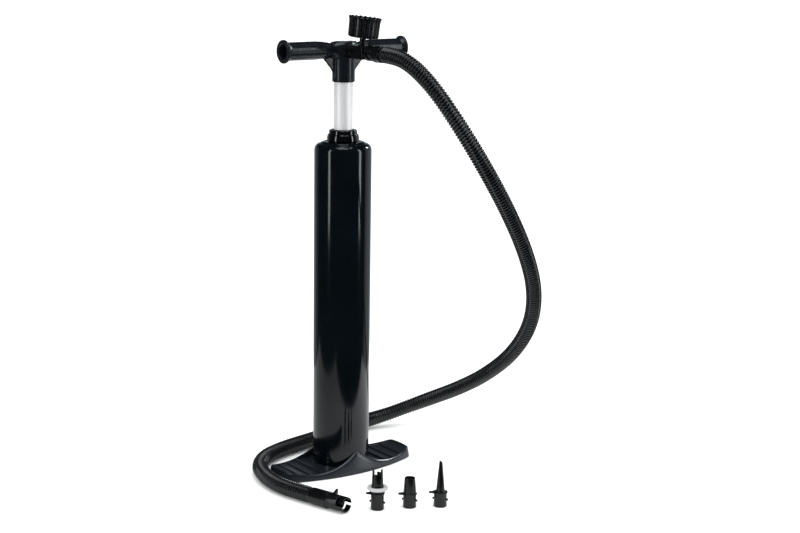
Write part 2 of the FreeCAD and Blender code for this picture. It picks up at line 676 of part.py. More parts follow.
def nozzle_body(height, flange_z):
    """Bayonet plug with two pins, a small flange and a thumb tab."""
    plug = fuse(cylinder(PLUG_R, 0, height), cylinder(PLUG_R + 1.2, flange_z, flange_z + 2.4))
    pins = rod_along(V(-12.3, 0, NOZZLE_PIN_Z), V(1, 0, 0), COUPLING_PIN_R, 24.6)
    pins.rotate(V(0, 0, 0), UP, NOZZLE_PIN_ANGLE)
    tab = Part.Face(Part.makePolygon([V(8, -4.5, flange_z), V(17.5, -1.6, flange_z), V(17.5, 1.6, flange_z),
                                      V(8, 4.5, flange_z), V(8, -4.5, flange_z)])).extrude(V(0, 0, 2.4))
    tab.rotate(V(0, 0, 0), UP, NOZZLE_TAB_ANGLE)
    return fuse(plug, pins, tab)


def in_place(shape, name):
    x, y = NOZZLE_PLACES[name]
    shape.translate(V(x, y, 0))
    return shape


def valve_adapter():
    body = fuse(nozzle_body(26, 23.5), revolve([(0, 26), (PLUG_R, 26), (13.2, 29.6), (13.2, 31), (9.4, 31),
                                               (9.4, 36), (8.9, 38), (7.8, 63), (0, 63)]))
    body = body.cut(cylinder(8, -1, 24)).cut(cylinder(6, 20, 70))
    for slot in around(box(0, 12, -2.6, 2.6, 49, 70), 4, 45 + NOZZLE_PIN_ANGLE):
        body = body.cut(slot)
    short = box(-12, 12, -4.6, 4.6, 56, 70)
    short.rotate(V(0, 0, 0), UP, NOZZLE_PIN_ANGLE + 90)
    return in_place(body.cut(short), "valve_adapter")


def valve_adapter_gasket():
    gasket = ring(16, 9.4, 31, 35.4)
    gasket = gasket.makeFillet(1.6, [e for e in gasket.Edges if e.BoundBox.XMax > 12])
    return in_place(gasket, "valve_adapter")


def tube_nozzle():
    body = fuse(nozzle_body(24, 19.5), revolve([(0, 24), (9.7, 24), (9.4, 30), (8.0, 46.2), (0, 46.2)]))
    body = body.cut(cylinder(8, -1, 22)).cut(cylinder(6.6, 20, 60))
    return in_place(body, "tube_nozzle")


def cone_nozzle():
    body = fuse(nozzle_body(22, 20.5), revolve([(0, 22), (7.2, 22), (6.6, 24.5), (2.1, 73), (0, 73)]))
    body = body.cut(cylinder(8, -1, 20))
    body = body.cut(revolve([(0, 19), (5, 19), (1.1, 80), (0, 80)]))
    tip = box(-10, 10, -10, 10, 0, 20)
    tip.rotate(V(0, 0, 0), V(0, 1, 0), 38)
    tip.translate(V(0, 0, 70.6))
    tip.rotate(V(0, 0, 0), UP, -35)
    return in_place(body.cut(tip), "cone_nozzle")


PIECES = (
    foot_base, base_screws, bottom_cap, bottom_cap_o_ring, intake_flap, intake_flap_pin, lower_bumper,
    barrel, rod_guide_bush, upper_intake_ring, upper_valve_retainer, upper_bumper, gland_nut, rod_seal, rod_wiper,
    rod, piston_lower_plate, piston_upper_plate, piston_seal, piston_core, piston_check_disc, piston_valve_cage,
    piston_check_band, piston_pin, piston_screws,
    handle, handle_pin, rod_top_o_ring, hub_cap,
    tee_body, tee_o_ring, gauge_case, gauge_cover, gauge_capsule, gauge_dial, gauge_pointer, gauge_lens,
    gauge_bezel, gauge_stem_seal,
    upper_hose_cuff, hose, hose_end_fitting,
    valve_adapter, valve_adapter_gasket, tube_nozzle, cone_nozzle,
)

os.makedirs("parts", exist_ok=True)
for piece in PIECES:
    shape = piece()
    size = shape.BoundBox
    print("%-22s solids %d valid %s volume %9.1f  x %.1f %.1f  y %.1f %.1f  z %.1f %.1f" % (
        piece.__name__, len(shape.Solids), shape.isValid(), shape.Volume,
        size.XMin, size.XMax, size.YMin, size.YMax, size.ZMin, size.ZMax))
    shape.exportStep("parts/%s.step" % piece.__name__)
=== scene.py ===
import json
import math

import bmesh
import bpy
import numpy as np
from mathutils import Matrix, Vector

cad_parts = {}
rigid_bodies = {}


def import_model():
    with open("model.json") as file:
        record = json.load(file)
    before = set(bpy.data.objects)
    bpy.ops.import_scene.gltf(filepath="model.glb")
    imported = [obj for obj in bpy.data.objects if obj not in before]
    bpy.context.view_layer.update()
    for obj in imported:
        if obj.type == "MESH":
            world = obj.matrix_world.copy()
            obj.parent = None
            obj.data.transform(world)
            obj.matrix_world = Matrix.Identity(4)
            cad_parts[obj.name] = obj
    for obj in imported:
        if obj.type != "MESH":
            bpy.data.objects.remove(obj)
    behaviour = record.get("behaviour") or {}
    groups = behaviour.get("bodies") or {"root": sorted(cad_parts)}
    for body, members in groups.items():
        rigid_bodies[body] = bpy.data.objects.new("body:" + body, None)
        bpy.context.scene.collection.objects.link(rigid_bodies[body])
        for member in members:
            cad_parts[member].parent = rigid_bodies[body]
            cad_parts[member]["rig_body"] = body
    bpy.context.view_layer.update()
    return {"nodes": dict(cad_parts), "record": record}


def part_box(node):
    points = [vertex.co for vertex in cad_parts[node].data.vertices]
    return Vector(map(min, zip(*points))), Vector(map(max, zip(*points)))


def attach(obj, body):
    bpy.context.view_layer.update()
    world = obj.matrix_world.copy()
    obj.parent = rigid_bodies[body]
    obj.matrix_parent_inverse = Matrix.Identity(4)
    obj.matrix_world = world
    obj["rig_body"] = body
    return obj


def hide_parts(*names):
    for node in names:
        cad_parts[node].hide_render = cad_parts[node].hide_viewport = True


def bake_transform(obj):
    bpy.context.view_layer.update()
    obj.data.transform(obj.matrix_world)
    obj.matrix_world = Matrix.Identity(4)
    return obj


# An upright hand pump on a foot plate. Metres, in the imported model's frame: X along the foot base,
# -Y is the outlet side, +Z is up, and the origin is on the floor, on the barrel's axis.

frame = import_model()
MM = 0.001
UP = Vector((0, 0, 1))


# Camera

CAMERA_PLACE = (-1.4387, -2.0933, 0.872)
CAMERA_AZIMUTH = 36.58         # degrees from +Y towards +X
CAMERA_PITCH = -12.0
CAMERA_ROLL = 0.85
CAMERA_LENS = 73.35            # millimetres, on a 36 mm sensor


def make_camera():
    azimuth, pitch, roll = (math.radians(a) for a in (CAMERA_AZIMUTH, CAMERA_PITCH, CAMERA_ROLL))
    reach = math.cos(pitch)
    ahead = Vector((math.sin(azimuth) * reach, math.cos(azimuth) * reach, math.sin(pitch)))
    level = ahead.cross(UP).normalized()
    up = level.cross(ahead)
    right = level * math.cos(roll) + up * math.sin(roll)
    up = up * math.cos(roll) - level * math.sin(roll)
    camera = bpy.data.objects.new("camera", bpy.data.cameras.new("camera"))
    camera.data.lens = CAMERA_LENS
    camera.data.sensor_width = 36
    camera.data.clip_start = 0.05
    turn = Matrix((right, up, -ahead)).transposed().to_4x4()
    camera.matrix_world = Matrix.Translation(CAMERA_PLACE) @ turn
    bpy.context.scene.collection.objects.link(camera)
    bpy.context.scene.camera = camera


make_camera()


# Materials

def new_material(name):
    material = bpy.data.materials.new(name)
    material.use_nodes = True
    tree = material.node_tree
    return material, tree, tree.nodes["Principled BSDF"]


def noise(tree, scale, detail=3.0, stretch=(1, 1, 1)):
    """A noise texture in the object's own space, in features per metre."""
    place = tree.nodes.new("ShaderNodeTexCoord")
    mapping = tree.nodes.new("ShaderNodeMapping")
    mapping.inputs["Scale"].default_value = stretch
    texture = tree.nodes.new("ShaderNodeTexNoise")
    texture.inputs["Scale"].default_value = scale
    texture.inputs["Detail"].default_value = detail
    tree.links.new(place.outputs["Object"], mapping.inputs["Vector"])
    tree.links.new(mapping.outputs["Vector"], texture.inputs["Vector"])
    return texture.outputs["Fac"]


def ramp(tree, value, low, high, colors):
    node = tree.nodes.new("ShaderNodeValToRGB")
    node.color_ramp.elements[0].position = low
    node.color_ramp.elements[1].position = high
    node.color_ramp.elements[0].color = (*colors[0], 1)
    node.color_ramp.elements[1].color = (*colors[1], 1)
    tree.links.new(value, node.inputs["Fac"])
    return node.outputs["Color"]


def spread(tree, value, low, high):
    node = tree.nodes.new("ShaderNodeMapRange")
    node.inputs["From Min"].default_value = 0.3
    node.inputs["From Max"].default_value = 0.7
    node.inputs["To Min"].default_value = low
    node.inputs["To Max"].default_value = high
    tree.links.new(value, node.inputs["Value"])
    return node.outputs["Result"]


def bump(tree, shader, value, strength, distance):
    node = tree.nodes.new("ShaderNodeBump")
    node.inputs["Strength"].default_value = strength
    node.inputs["Distance"].default_value = distance
    tree.links.new(value, node.inputs["Height"])
    tree.links.new(node.outputs["Normal"], shader.inputs["Normal"])


def tinted(color, amount):
    return tuple(min(1.0, c * amount) for c in color)


def moulded(name, color, roughness, grain=900, grain_depth=0.05, cloud=12, coat=0.0, variation=0.25):
    """Moulded plastic or rubber: a clouded colour, uneven gloss and a fine eroded grain."""
    material, tree, shader = new_material(name)
    patches = noise(tree, cloud, 5)
    base = ramp(tree, patches, 0.35, 0.65, (tinted(color, 1 - variation), tinted(color, 1 + variation)))
    tree.links.new(base, shader.inputs["Base Color"])
    tree.links.new(spread(tree, noise(tree, cloud * 5, 6), roughness * 0.8, roughness * 1.25),
                   shader.inputs["Roughness"])
    bump(tree, shader, noise(tree, grain, 4), 0.5, grain_depth * MM)
    shader.inputs["Coat Weight"].default_value = coat
    shader.inputs["Coat Roughness"].default_value = 0.06
    return material


def ribbed(name, valley_painted_shade, crest, roughness):
    """Black hose plastic with painted light: paler along its rib crests as a painted highlight, near black in
    the valleys as painted shade. The mesh says where its ribs are.
    """
    material, tree, shader = new_material(name)
    place = tree.nodes.new("ShaderNodeAttribute")
    place.attribute_name = "rib_crest"
    # Painted highlight mask: the rib crest value times a random patchiness, high on the crests and low in the
    # valleys.
    painted_sheen_mask = tree.nodes.new("ShaderNodeMath")
    painted_sheen_mask.operation = "MULTIPLY"
    tree.links.new(place.outputs["Fac"], painted_sheen_mask.inputs[0])
    tree.links.new(spread(tree, noise(tree, 30, 5), 0.75, 1.05), painted_sheen_mask.inputs[1])
    # From the valley colour, a painted shade, to the crest colour, a painted highlight.
    base = ramp(tree, painted_sheen_mask.outputs["Value"], 0.45, 0.95, (valley_painted_shade, crest))
    tree.links.new(base, shader.inputs["Base Color"])
    gloss = spread(tree, noise(tree, 100, 6), roughness * 0.8, roughness * 1.25)
    tree.links.new(gloss, shader.inputs["Roughness"])
    return material


def metal(name, color, roughness, along, depth=0.01, metallic=1.0):
    """Drawn or turned metal: fine streaks round or along the piece."""
    material, tree, shader = new_material(name)
    streaks = noise(tree, 60, 5, along)
    base = ramp(tree, streaks, 0.3, 0.7, (tinted(color, 0.88), tinted(color, 1.05)))
    tree.links.new(base, shader.inputs["Base Color"])
    tree.links.new(spread(tree, streaks, roughness * 0.75, roughness * 1.3), shader.inputs["Roughness"])
    bump(tree, shader, streaks, 0.25, depth * MM)
    shader.inputs["Metallic"].default_value = metallic
    return material


def clear_glass(name):
    material, tree, shader = new_material(name)
    shader.inputs["Base Color"].default_value = (0.95, 0.97, 0.98, 1)
    shader.inputs["Transmission Weight"].default_value = 0.9
    shader.inputs["IOR"].default_value = 1.49
    tree.links.new(spread(tree, noise(tree, 200, 4), 0.02, 0.08), shader.inputs["Roughness"])
    return material


# Colour, roughness, grain per metre, grain depth in mm, clouds per metre, coat, colour variation.
MOULDED = {
    "base_plastic": ((0.010, 0.0125, 0.0165), 0.20, 1400, 0.006, 14, 0.0, 0.15),
    "barrel_plastic": ((0.0008, 0.0020, 0.0031), 0.10, 500, 0.003, 9, 0.0, 0.2),
    "collar_plastic": ((0.0008, 0.0011, 0.0015), 0.09, 700, 0.004, 15, 0.5),
    "handle_plastic": ((0.0026, 0.0042, 0.0068), 0.27, 1600, 0.0015, 18, 0.0, 0.12),
    "black_plastic": ((0.0012, 0.0014, 0.0018), 0.22, 1700, 0.0015, 20, 0.0),
    "seal_rubber": ((0.012, 0.012, 0.012), 0.6, 1200, 0.05),
    "gasket_rubber": ((0.42, 0.42, 0.43), 0.5, 1100, 0.04, 25, 0, 0.08),
    "piston_plastic": ((0.50, 0.50, 0.46), 0.45, 1000, 0.04, 12, 0, 0.06),
    "dial_white": ((0.80, 0.80, 0.77), 0.4, 900, 0.02, 30, 0, 0.04),
    "pointer_red": ((0.55, 0.02, 0.015), 0.35, 900, 0.02, 30),
}
MATERIALS = {name: moulded(name, *finish) for name, finish in MOULDED.items()}
MATERIALS.update({
    # Hose colours: a near-black valley as painted shade and a paler crest as a painted highlight on the ribs.
    "hose_plastic": ribbed("hose_plastic", (0.0004, 0.0005, 0.0006), (0.021, 0.022, 0.024), 0.14),
    "rod_aluminium": metal("rod_aluminium", (0.95, 0.95, 0.96), 0.50, (14, 14, 0.4), 0.006, 0.62),
    "screw_steel": metal("screw_steel", (0.55, 0.55, 0.56), 0.3, (3, 3, 20)),
    "brass": metal("brass", (0.62, 0.44, 0.18), 0.28, (2, 2, 24)),
    "lens_clear": clear_glass("lens_clear"),
})
SLOT_OF = {part["node"]: part["material_slot"] for part in frame["record"]["subparts"]}

for name, node in frame["nodes"].items():
    node.data.materials.clear()
    node.data.materials.append(MATERIALS[SLOT_OF[name]])
    node.data.set_sharp_from_angle(angle=math.radians(35))


# Mesh helpers, in millimetres until a mesh is made

def joined_mesh(name, shells):
    """One mesh in metres from (points, faces) shells in millimetres."""
    mesh = bpy.data.meshes.new(name)
    points = []
    faces = []
    for shell_points, shell_faces in shells:
        start = len(points)
        points += [(p[0] * MM, p[1] * MM, p[2] * MM) for p in shell_points]
        faces += [tuple(start + i for i in face) for face in shell_faces]
    mesh.from_pydata(points, [], faces)
    return mesh


def make_piece(name, shells, nodes, sharp=38.0):
    """One object from its shells. It takes the place of CAD nodes and rides on their body."""
    mesh = joined_mesh(name, shells)
    mesh.validate()
    work = bmesh.new()
    work.from_mesh(mesh)
    bmesh.ops.remove_doubles(work, verts=work.verts, dist=1e-7)
    bmesh.ops.recalc_face_normals(work, faces=work.faces)
    work.to_mesh(mesh)
    work.free()
    piece = bpy.data.objects.new(name, mesh)
    bpy.context.scene.collection.objects.link(piece)
    finish_piece(piece, nodes, sharp)
    return piece


def finish_piece(piece, nodes, sharp):
    slot = SLOT_OF[nodes[0]]
    piece.data.materials.clear()
    piece.data.materials.append(MATERIALS[slot])
    piece.data.shade_smooth()
    piece.data.set_sharp_from_angle(angle=math.radians(sharp))
    body = frame["nodes"][nodes[0]]["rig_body"]
    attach(piece, body)
    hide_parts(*nodes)


def rounded(outline, radius, steps=4, closed=False):
    """The outline with each corner replaced by a short arc, as large as the radius and its sides allow."""
    points = [np.array(p, float) for p in outline]
    count = len(points)
    result = []
    for i in range(count):
        if not closed and i in (0, count - 1):
            result.append(points[i])
            continue
        here = points[i]
        back = points[i - 1] - here
        ahead = points[(i + 1) % count] - here
        back_length = np.linalg.norm(back)
        ahead_length = np.linalg.norm(ahead)
        back /= back_length
        ahead /= ahead_length
        half = math.acos(max(-1.0, min(1.0, float(back @ ahead)))) / 2
        if half > math.radians(86):
            result.append(here)
            continue
        reach = min(radius / math.tan(half), 0.45 * back_length, 0.45 * ahead_length)
        start = here + back * reach
        end = here + ahead * reach
        for step in range(steps + 1):
            t = step / steps
            result.append(start * (1 - t) ** 2 + here * 2 * t * (1 - t) + end * t ** 2)
    return [tuple(p) for p in result]


def band(low, high):
    """The faces between two closed rings of vertex numbers."""
    after = [*range(1, len(low)), 0]
    return [(low[i], low[j], high[j], high[i]) for i, j in enumerate(after)]


def stacked_bands(rings, count, closed=False):
    """The faces between rings of so many points each, numbered one ring after the other."""
    starts = [ring * count for ring in range(rings)] + [0] * closed
    faces = []
    for low, high in zip(starts, starts[1:]):
        faces += band(range(low, low + count), range(high, high + count))
    return faces


def lathe(profile, segments=96):
    """Turn a (radius, height) outline round Z. Points on the axis close the shape."""
    points = []
    faces = []
    rings = []
    for radius, height in profile:
        if radius < 1e-6:
            rings.append([len(points)] * segments)
            points.append((0, 0, height))
            continue
        rings.append([len(points) + i for i in range(segments)])
        for i in range(segments):
            angle = 2 * math.pi * i / segments
            points.append((radius * math.cos(angle), radius * math.sin(angle), height))
    for low, high in zip(rings, rings[1:]):
        for i in range(segments):
            j = (i + 1) % segments
            face = [low[i], low[j], high[j], high[i]]
            face = [v for k, v in enumerate(face) if v not in face[:k]]
            if len(face) > 2:
                faces.append(face)
    return points, faces


def closed_lathe(profile, segments=96):
    return lathe(list(profile) + [profile[0]], segments)


def prism(outline, depth, bevel=0.0):
    """An (x, z) outline, extruded evenly about y = 0."""
    outline = rounded(outline, bevel, 3, True) if bevel else outline
    count = len(outline)
    points = [(x, -depth / 2, z) for x, z in outline] + [(x, depth / 2, z) for x, z in outline]
    faces = [tuple(range(count)), tuple(range(2 * count - 1, count - 1, -1))]
    return points, faces + stacked_bands(2, count)


def rounded_box(x0, x1, y0, y1, z0, z1, radius, steps=3):
    """A box with rounded edges and corners."""
    work = bmesh.new()
    bmesh.ops.create_cube(work, size=1.0)
    for vertex in work.verts:
        vertex.co = Vector((x0 if vertex.co.x < 0 else x1, y0 if vertex.co.y < 0 else y1,
                            z0 if vertex.co.z < 0 else z1))
    bmesh.ops.bevel(work, geom=work.edges[:], offset=radius, segments=steps, profile=0.5, affect="EDGES")
    work.verts.index_update()
    shell = ([tuple(v.co) for v in work.verts], [[v.index for v in f.verts] for f in work.faces])
    work.free()
    return shell


def moved(shell, matrix):
    points, faces = shell
    return [tuple(matrix @ Vector(p)) for p in points], faces


def turned(angle, axis="Z"):
    return Matrix.Rotation(math.radians(angle), 4, axis)


def along(start, direction, roll=0.0):
    """Stands a shape drawn along +Z at a point, running along a direction."""
    direction = Vector(direction).normalized()
    turn = UP.rotation_difference(direction).to_matrix().to_4x4()
    return Matrix.Translation(start) @ turn @ turned(roll)


def bar(start, direction, radius, length, bevel=0.3, segments=24):
    profile = rounded([(0, 0), (radius, 0), (radius, length), (0, length)], bevel, 3)
    return moved(lathe(profile, segments), along(start, direction))


def loose_object(name, shells):
    """An object that isn't a piece yet: a blank to cut, or a cutter."""
    mesh = joined_mesh(name, shells)
    work = bmesh.new()
    work.from_mesh(mesh)
    bmesh.ops.recalc_face_normals(work, faces=work.faces)
    work.to_mesh(mesh)
    work.free()
    thing = bpy.data.objects.new(name, mesh)
    bpy.context.scene.collection.objects.link(thing)
    return thing


def apply_modifiers(piece):
    """Bakes the piece's modifiers into its mesh."""
    graph = bpy.context.evaluated_depsgraph_get()
    mesh = bpy.data.meshes.new_from_object(piece.evaluated_get(graph))
    old = piece.data
    piece.modifiers.clear()
    piece.data = mesh
    bpy.data.meshes.remove(old)


def combine(thing, others, operation):
    """Boolean with each of the other shells in turn."""
    for i, shell in enumerate(others):
        tool = loose_object("tool_%d" % i, [shell])
        modifier = thing.modifiers.new("boolean", "BOOLEAN")
        modifier.operation = operation
        modifier.solver = "EXACT"
        modifier.object = tool
        bpy.context.view_layer.update()
        apply_modifiers(thing)
        bpy.data.objects.remove(tool)


def soften_edges(thing, width, angle=32.0, segments=2):
    """Rounds the edges sharper than the angle."""
    modifier = thing.modifiers.new("bevel", "BEVEL")
    modifier.width = width * MM
    modifier.segments = segments
    modifier.limit_method = "ANGLE"
    modifier.angle_limit = math.radians(angle)
    modifier.use_clamp_overlap = True
    bpy.context.view_layer.update()
    apply_modifiers(thing)


def box_mm(node):
    low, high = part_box(node)
    return low / MM, high / MM


# Hose

HOSE_ROUTE = (
    (0, -0.106, 0.674), (0, -0.142, 0.674), (0.003, -0.180, 0.661), (0.013, -0.214, 0.633),
    (0.034, -0.240, 0.588), (0.074, -0.256, 0.522), (0.125, -0.254, 0.450), (0.177, -0.240, 0.376),
    (0.225, -0.210, 0.304),
    (0.261, -0.162, 0.234), (0.278, -0.099, 0.168), (0.275, -0.032, 0.116), (0.262, 0.027, 0.080),
    (0.247, 0.071, 0.057), (0.223, 0.108, 0.036), (0.187, 0.130, 0.020), (0.141, 0.138, 0.013),
    (0.093, 0.127, 0.013), (0.043, 0.110, 0.013), (-0.008, 0.100, 0.013), (-0.056, 0.090, 0.013),
    (-0.102, 0.071, 0.013), (-0.136, 0.034, 0.013), (-0.151, -0.010, 0.013), (-0.155, -0.052, 0.013),
    (-0.148, -0.091, 0.013), (-0.1375, -0.126, 0.013),
)
HOSE_R = 12.5 * MM
HOSE_VALLEY_R = 10.9 * MM
HOSE_BORE_R = 9.6 * MM
HOSE_BORE_DEPTH = 10 * MM
RIB_PITCH = 4.8 * MM
RINGS_PER_RIB = 8
HOSE_SEGMENTS = 28


def spline_points(route):
    """Even points along the smooth curve that the route controls."""
    curve = bpy.data.curves.new("hose_route", "CURVE")
    curve.dimensions = "3D"
    curve.resolution_u = 24
    spline = curve.splines.new("NURBS")
    spline.points.add(len(route) - 1)
    for point, place in zip(spline.points, route):
        point.co = (*place, 1)
    spline.order_u = 3
    spline.use_endpoint_u = True
    holder = bpy.data.objects.new("hose_route", curve)
    bpy.context.scene.collection.objects.link(holder)
    bpy.context.view_layer.update()
    graph = bpy.context.evaluated_depsgraph_get()
    mesh = bpy.data.meshes.new_from_object(holder.evaluated_get(graph))
    points = np.array([v.co for v in mesh.vertices])
    bpy.data.meshes.remove(mesh)
    bpy.data.objects.remove(holder)
    bpy.data.curves.remove(curve)
    return points


def resampled(points, step):
    lengths = np.concatenate([[0], np.cumsum(np.linalg.norm(np.diff(points, axis=0), axis=1))])
    count = int(round(lengths[-1] / step))
    even = np.linspace(0, lengths[-1], count + 1)
    return np.stack([np.interp(even, lengths, points[:, i]) for i in range(3)], axis=1), even


def swept_frames(path):
    """Tangent and a steady sideways direction at each point of a path."""
    tangent = np.gradient(path, axis=0)
    tangent /= np.linalg.norm(tangent, axis=1)[:, None]
    side = np.zeros_like(path)
    here = np.array([1.0, 0, 0])
    for i, t in enumerate(tangent):
        here = here - t * (here @ t)
        here /= np.linalg.norm(here)
        side[i] = here
    return tangent, side


def corrugated_hose():
    """Spiral-ribbed tube with an open bore at both ends."""
    path, lengths = resampled(spline_points(HOSE_ROUTE), RIB_PITCH / RINGS_PER_RIB)
    kernel = np.ones(9) / 9
    padded = np.pad(path, ((4, 4), (0, 0)), mode="edge")
    smooth = np.stack([np.convolve(padded[:, i], kernel, "valid") for i in range(3)], axis=1)
    smooth[:6] = path[:6]
    smooth[-6:] = path[-6:]
    tangent, side = swept_frames(smooth)
    across = np.cross(tangent, side)
    angles = np.arange(HOSE_SEGMENTS) * 2 * math.pi / HOSE_SEGMENTS
    phase = lengths[:, None] / RIB_PITCH * 2 * math.pi - angles[None, :]
    crest = 0.5 + 0.5 * np.cos(phase)
    radius = HOSE_VALLEY_R + (HOSE_R - HOSE_VALLEY_R) * crest ** 1.2
    ends = np.minimum(lengths, lengths[-1] - lengths)
    radius = np.where(ends[:, None] < RIB_PITCH, HOSE_VALLEY_R, radius)
    outward = (np.cos(angles)[None, :, None] * side[:, None, :]
               + np.sin(angles)[None, :, None] * across[:, None, :])
    rings = path[:, None, :] + radius[..., None] * outward
    points = [tuple(p) for p in rings.reshape(-1, 3)]
    count = HOSE_SEGMENTS
    faces = stacked_bands(len(path), count)
    for ring, order in ((0, 1), (len(path) - 1, -1)):
        rim = [ring * count + i for i in range(count)]
        bore = []
        for depth in (0, HOSE_BORE_DEPTH):
            start = len(points)
            centre = path[ring] + tangent[ring] * depth * order
            for angle in angles:
                outward = math.cos(angle) * side[ring] + math.sin(angle) * across[ring]
                points.append(tuple(centre + HOSE_BORE_R * outward))
            bore.append([start + i for i in range(count)])
        for a, b in ((rim, bore[0]), (bore[0], bore[1])):
            for i in range(count):
                j = (i + 1) % count
                faces.append((a[i], b[i], b[j], a[j])[::order])
        faces.append(tuple(bore[1][::order]))
    mesh = bpy.data.meshes.new("ribbed_hose")
    mesh.from_pydata(points, [], faces)
    # Rib crest value at each point. The hose material turns it into painted highlights on the crests and
    # painted shade in the valleys.
    painted_sheen_mask = mesh.attributes.new("rib_crest", "FLOAT", "POINT")
    painted_sheen_mask.data.foreach_set("value", np.pad(crest.ravel(), (0, len(points) - crest.size)).astype(np.float32))
    mesh.materials.append(MATERIALS["hose_plastic"])
    mesh.shade_smooth()
    piece = bpy.data.objects.new("ribbed_hose", mesh)
    bpy.context.scene.collection.objects.link(piece)
    return piece, path


hose, hose_line = corrugated_hose()
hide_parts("hose")
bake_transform(hose)


# Foot base

BASE_HALF_LENGTH = 122.0
BASE_HALF_WIDTH = 54.0
BASE_END_HALF_WIDTH = 28.0
BASE_END_BULGE = 2.0
BASE_CORNER_R = 12.0
BASE_POINT_STEP = 1.6
WALL_LEAN = 8.0 / 45.0
RIM_LOW_X = 75.0
RIM_LOW_Z = 9.5
CUSP_Z = 38.0
RIM_END_R = 150.0
RIM_WIDTH = 4.5
TREAD_DROP = 2.2
TREAD_RIBS_X = (61.0, 80.0, 99.0)
TREAD_INNER_R = 39.0
SEAT_R = 47.6
SEAT_TOP_Z = 10.5


def rim_z(x, low_z=RIM_LOW_Z, cusp_z=CUSP_Z):
    """Height of the base's rim, which is hollow towards the barrel and rises again to the end."""
    x = abs(x)
    if x > RIM_LOW_X:
        return low_z + RIM_END_R - math.sqrt(RIM_END_R ** 2 - (x - RIM_LOW_X) ** 2)
    rise = cusp_z - low_z
    radius = (RIM_LOW_X ** 2 + rise ** 2) / (2 * rise)
    return low_z + radius - math.sqrt(radius ** 2 - (RIM_LOW_X - x) ** 2)


def arc_through(a, b, c, count):
    """Points from a to c on the circle through three points, without the last."""
    a, b, c = (np.array(p, float) for p in (a, b, c))
    matrix = 2 * np.array([b - a, c - a])
    centre = np.linalg.solve(matrix, np.array([b @ b - a @ a, c @ c - a @ a]))
    first = math.atan2(*(a - centre)[::-1])
    last = math.atan2(*(c - centre)[::-1])
    middle = math.atan2(*(b - centre)[::-1])
    turn = (last - first + math.pi) % (2 * math.pi) - math.pi
    if ((middle - first) * turn) % (2 * math.pi) > abs(turn) + math.pi:
        turn -= math.copysign(2 * math.pi, turn)
    radius = np.linalg.norm(a - centre)
    angles = [first + turn * i / count for i in range(count)]
    return [centre + radius * np.array([math.cos(angle), math.sin(angle)]) for angle in angles]


def base_outline():
    """Even points round the base's foot, and the inward direction at each."""
    corner = [(-BASE_HALF_LENGTH, -BASE_END_HALF_WIDTH), (BASE_HALF_LENGTH, -BASE_END_HALF_WIDTH),
              (BASE_HALF_LENGTH, BASE_END_HALF_WIDTH), (-BASE_HALF_LENGTH, BASE_END_HALF_WIDTH)]
    bulge = [(0, -BASE_HALF_WIDTH), (BASE_HALF_LENGTH + BASE_END_BULGE, 0),
             (0, BASE_HALF_WIDTH), (-BASE_HALF_LENGTH - BASE_END_BULGE, 0)]
    sides = [arc_through(corner[i], bulge[i], corner[(i + 1) % 4], 120) for i in range(4)]
    smooth = []
    for i in range(4):
        side = sides[i]
        following = sides[(i + 1) % 4]
        trimmed = [p for p in side if np.linalg.norm(p - side[0]) > BASE_CORNER_R * 0.75
                   and np.linalg.norm(p - following[0]) > BASE_CORNER_R * 0.75]
        next_trimmed = [p for p in following if np.linalg.norm(p - following[0]) > BASE_CORNER_R * 0.75]
        smooth += trimmed
        start, end, tip = trimmed[-1], next_trimmed[0], following[0]
        for step in range(1, 12):
            t = step / 12
            smooth.append(start * (1 - t) ** 2 + tip * 2 * t * (1 - t) + end * t ** 2)
    loop = np.array(smooth + smooth[:1])
    points, _ = resampled(np.column_stack([loop, np.zeros(len(loop))]), BASE_POINT_STEP)
    points = points[:-1, :2]
    tangent = np.roll(points, -1, axis=0) - np.roll(points, 1, axis=0)
    tangent /= np.linalg.norm(tangent, axis=1)[:, None]
    inward = np.column_stack([-tangent[:, 1], tangent[:, 0]])
    return points, inward


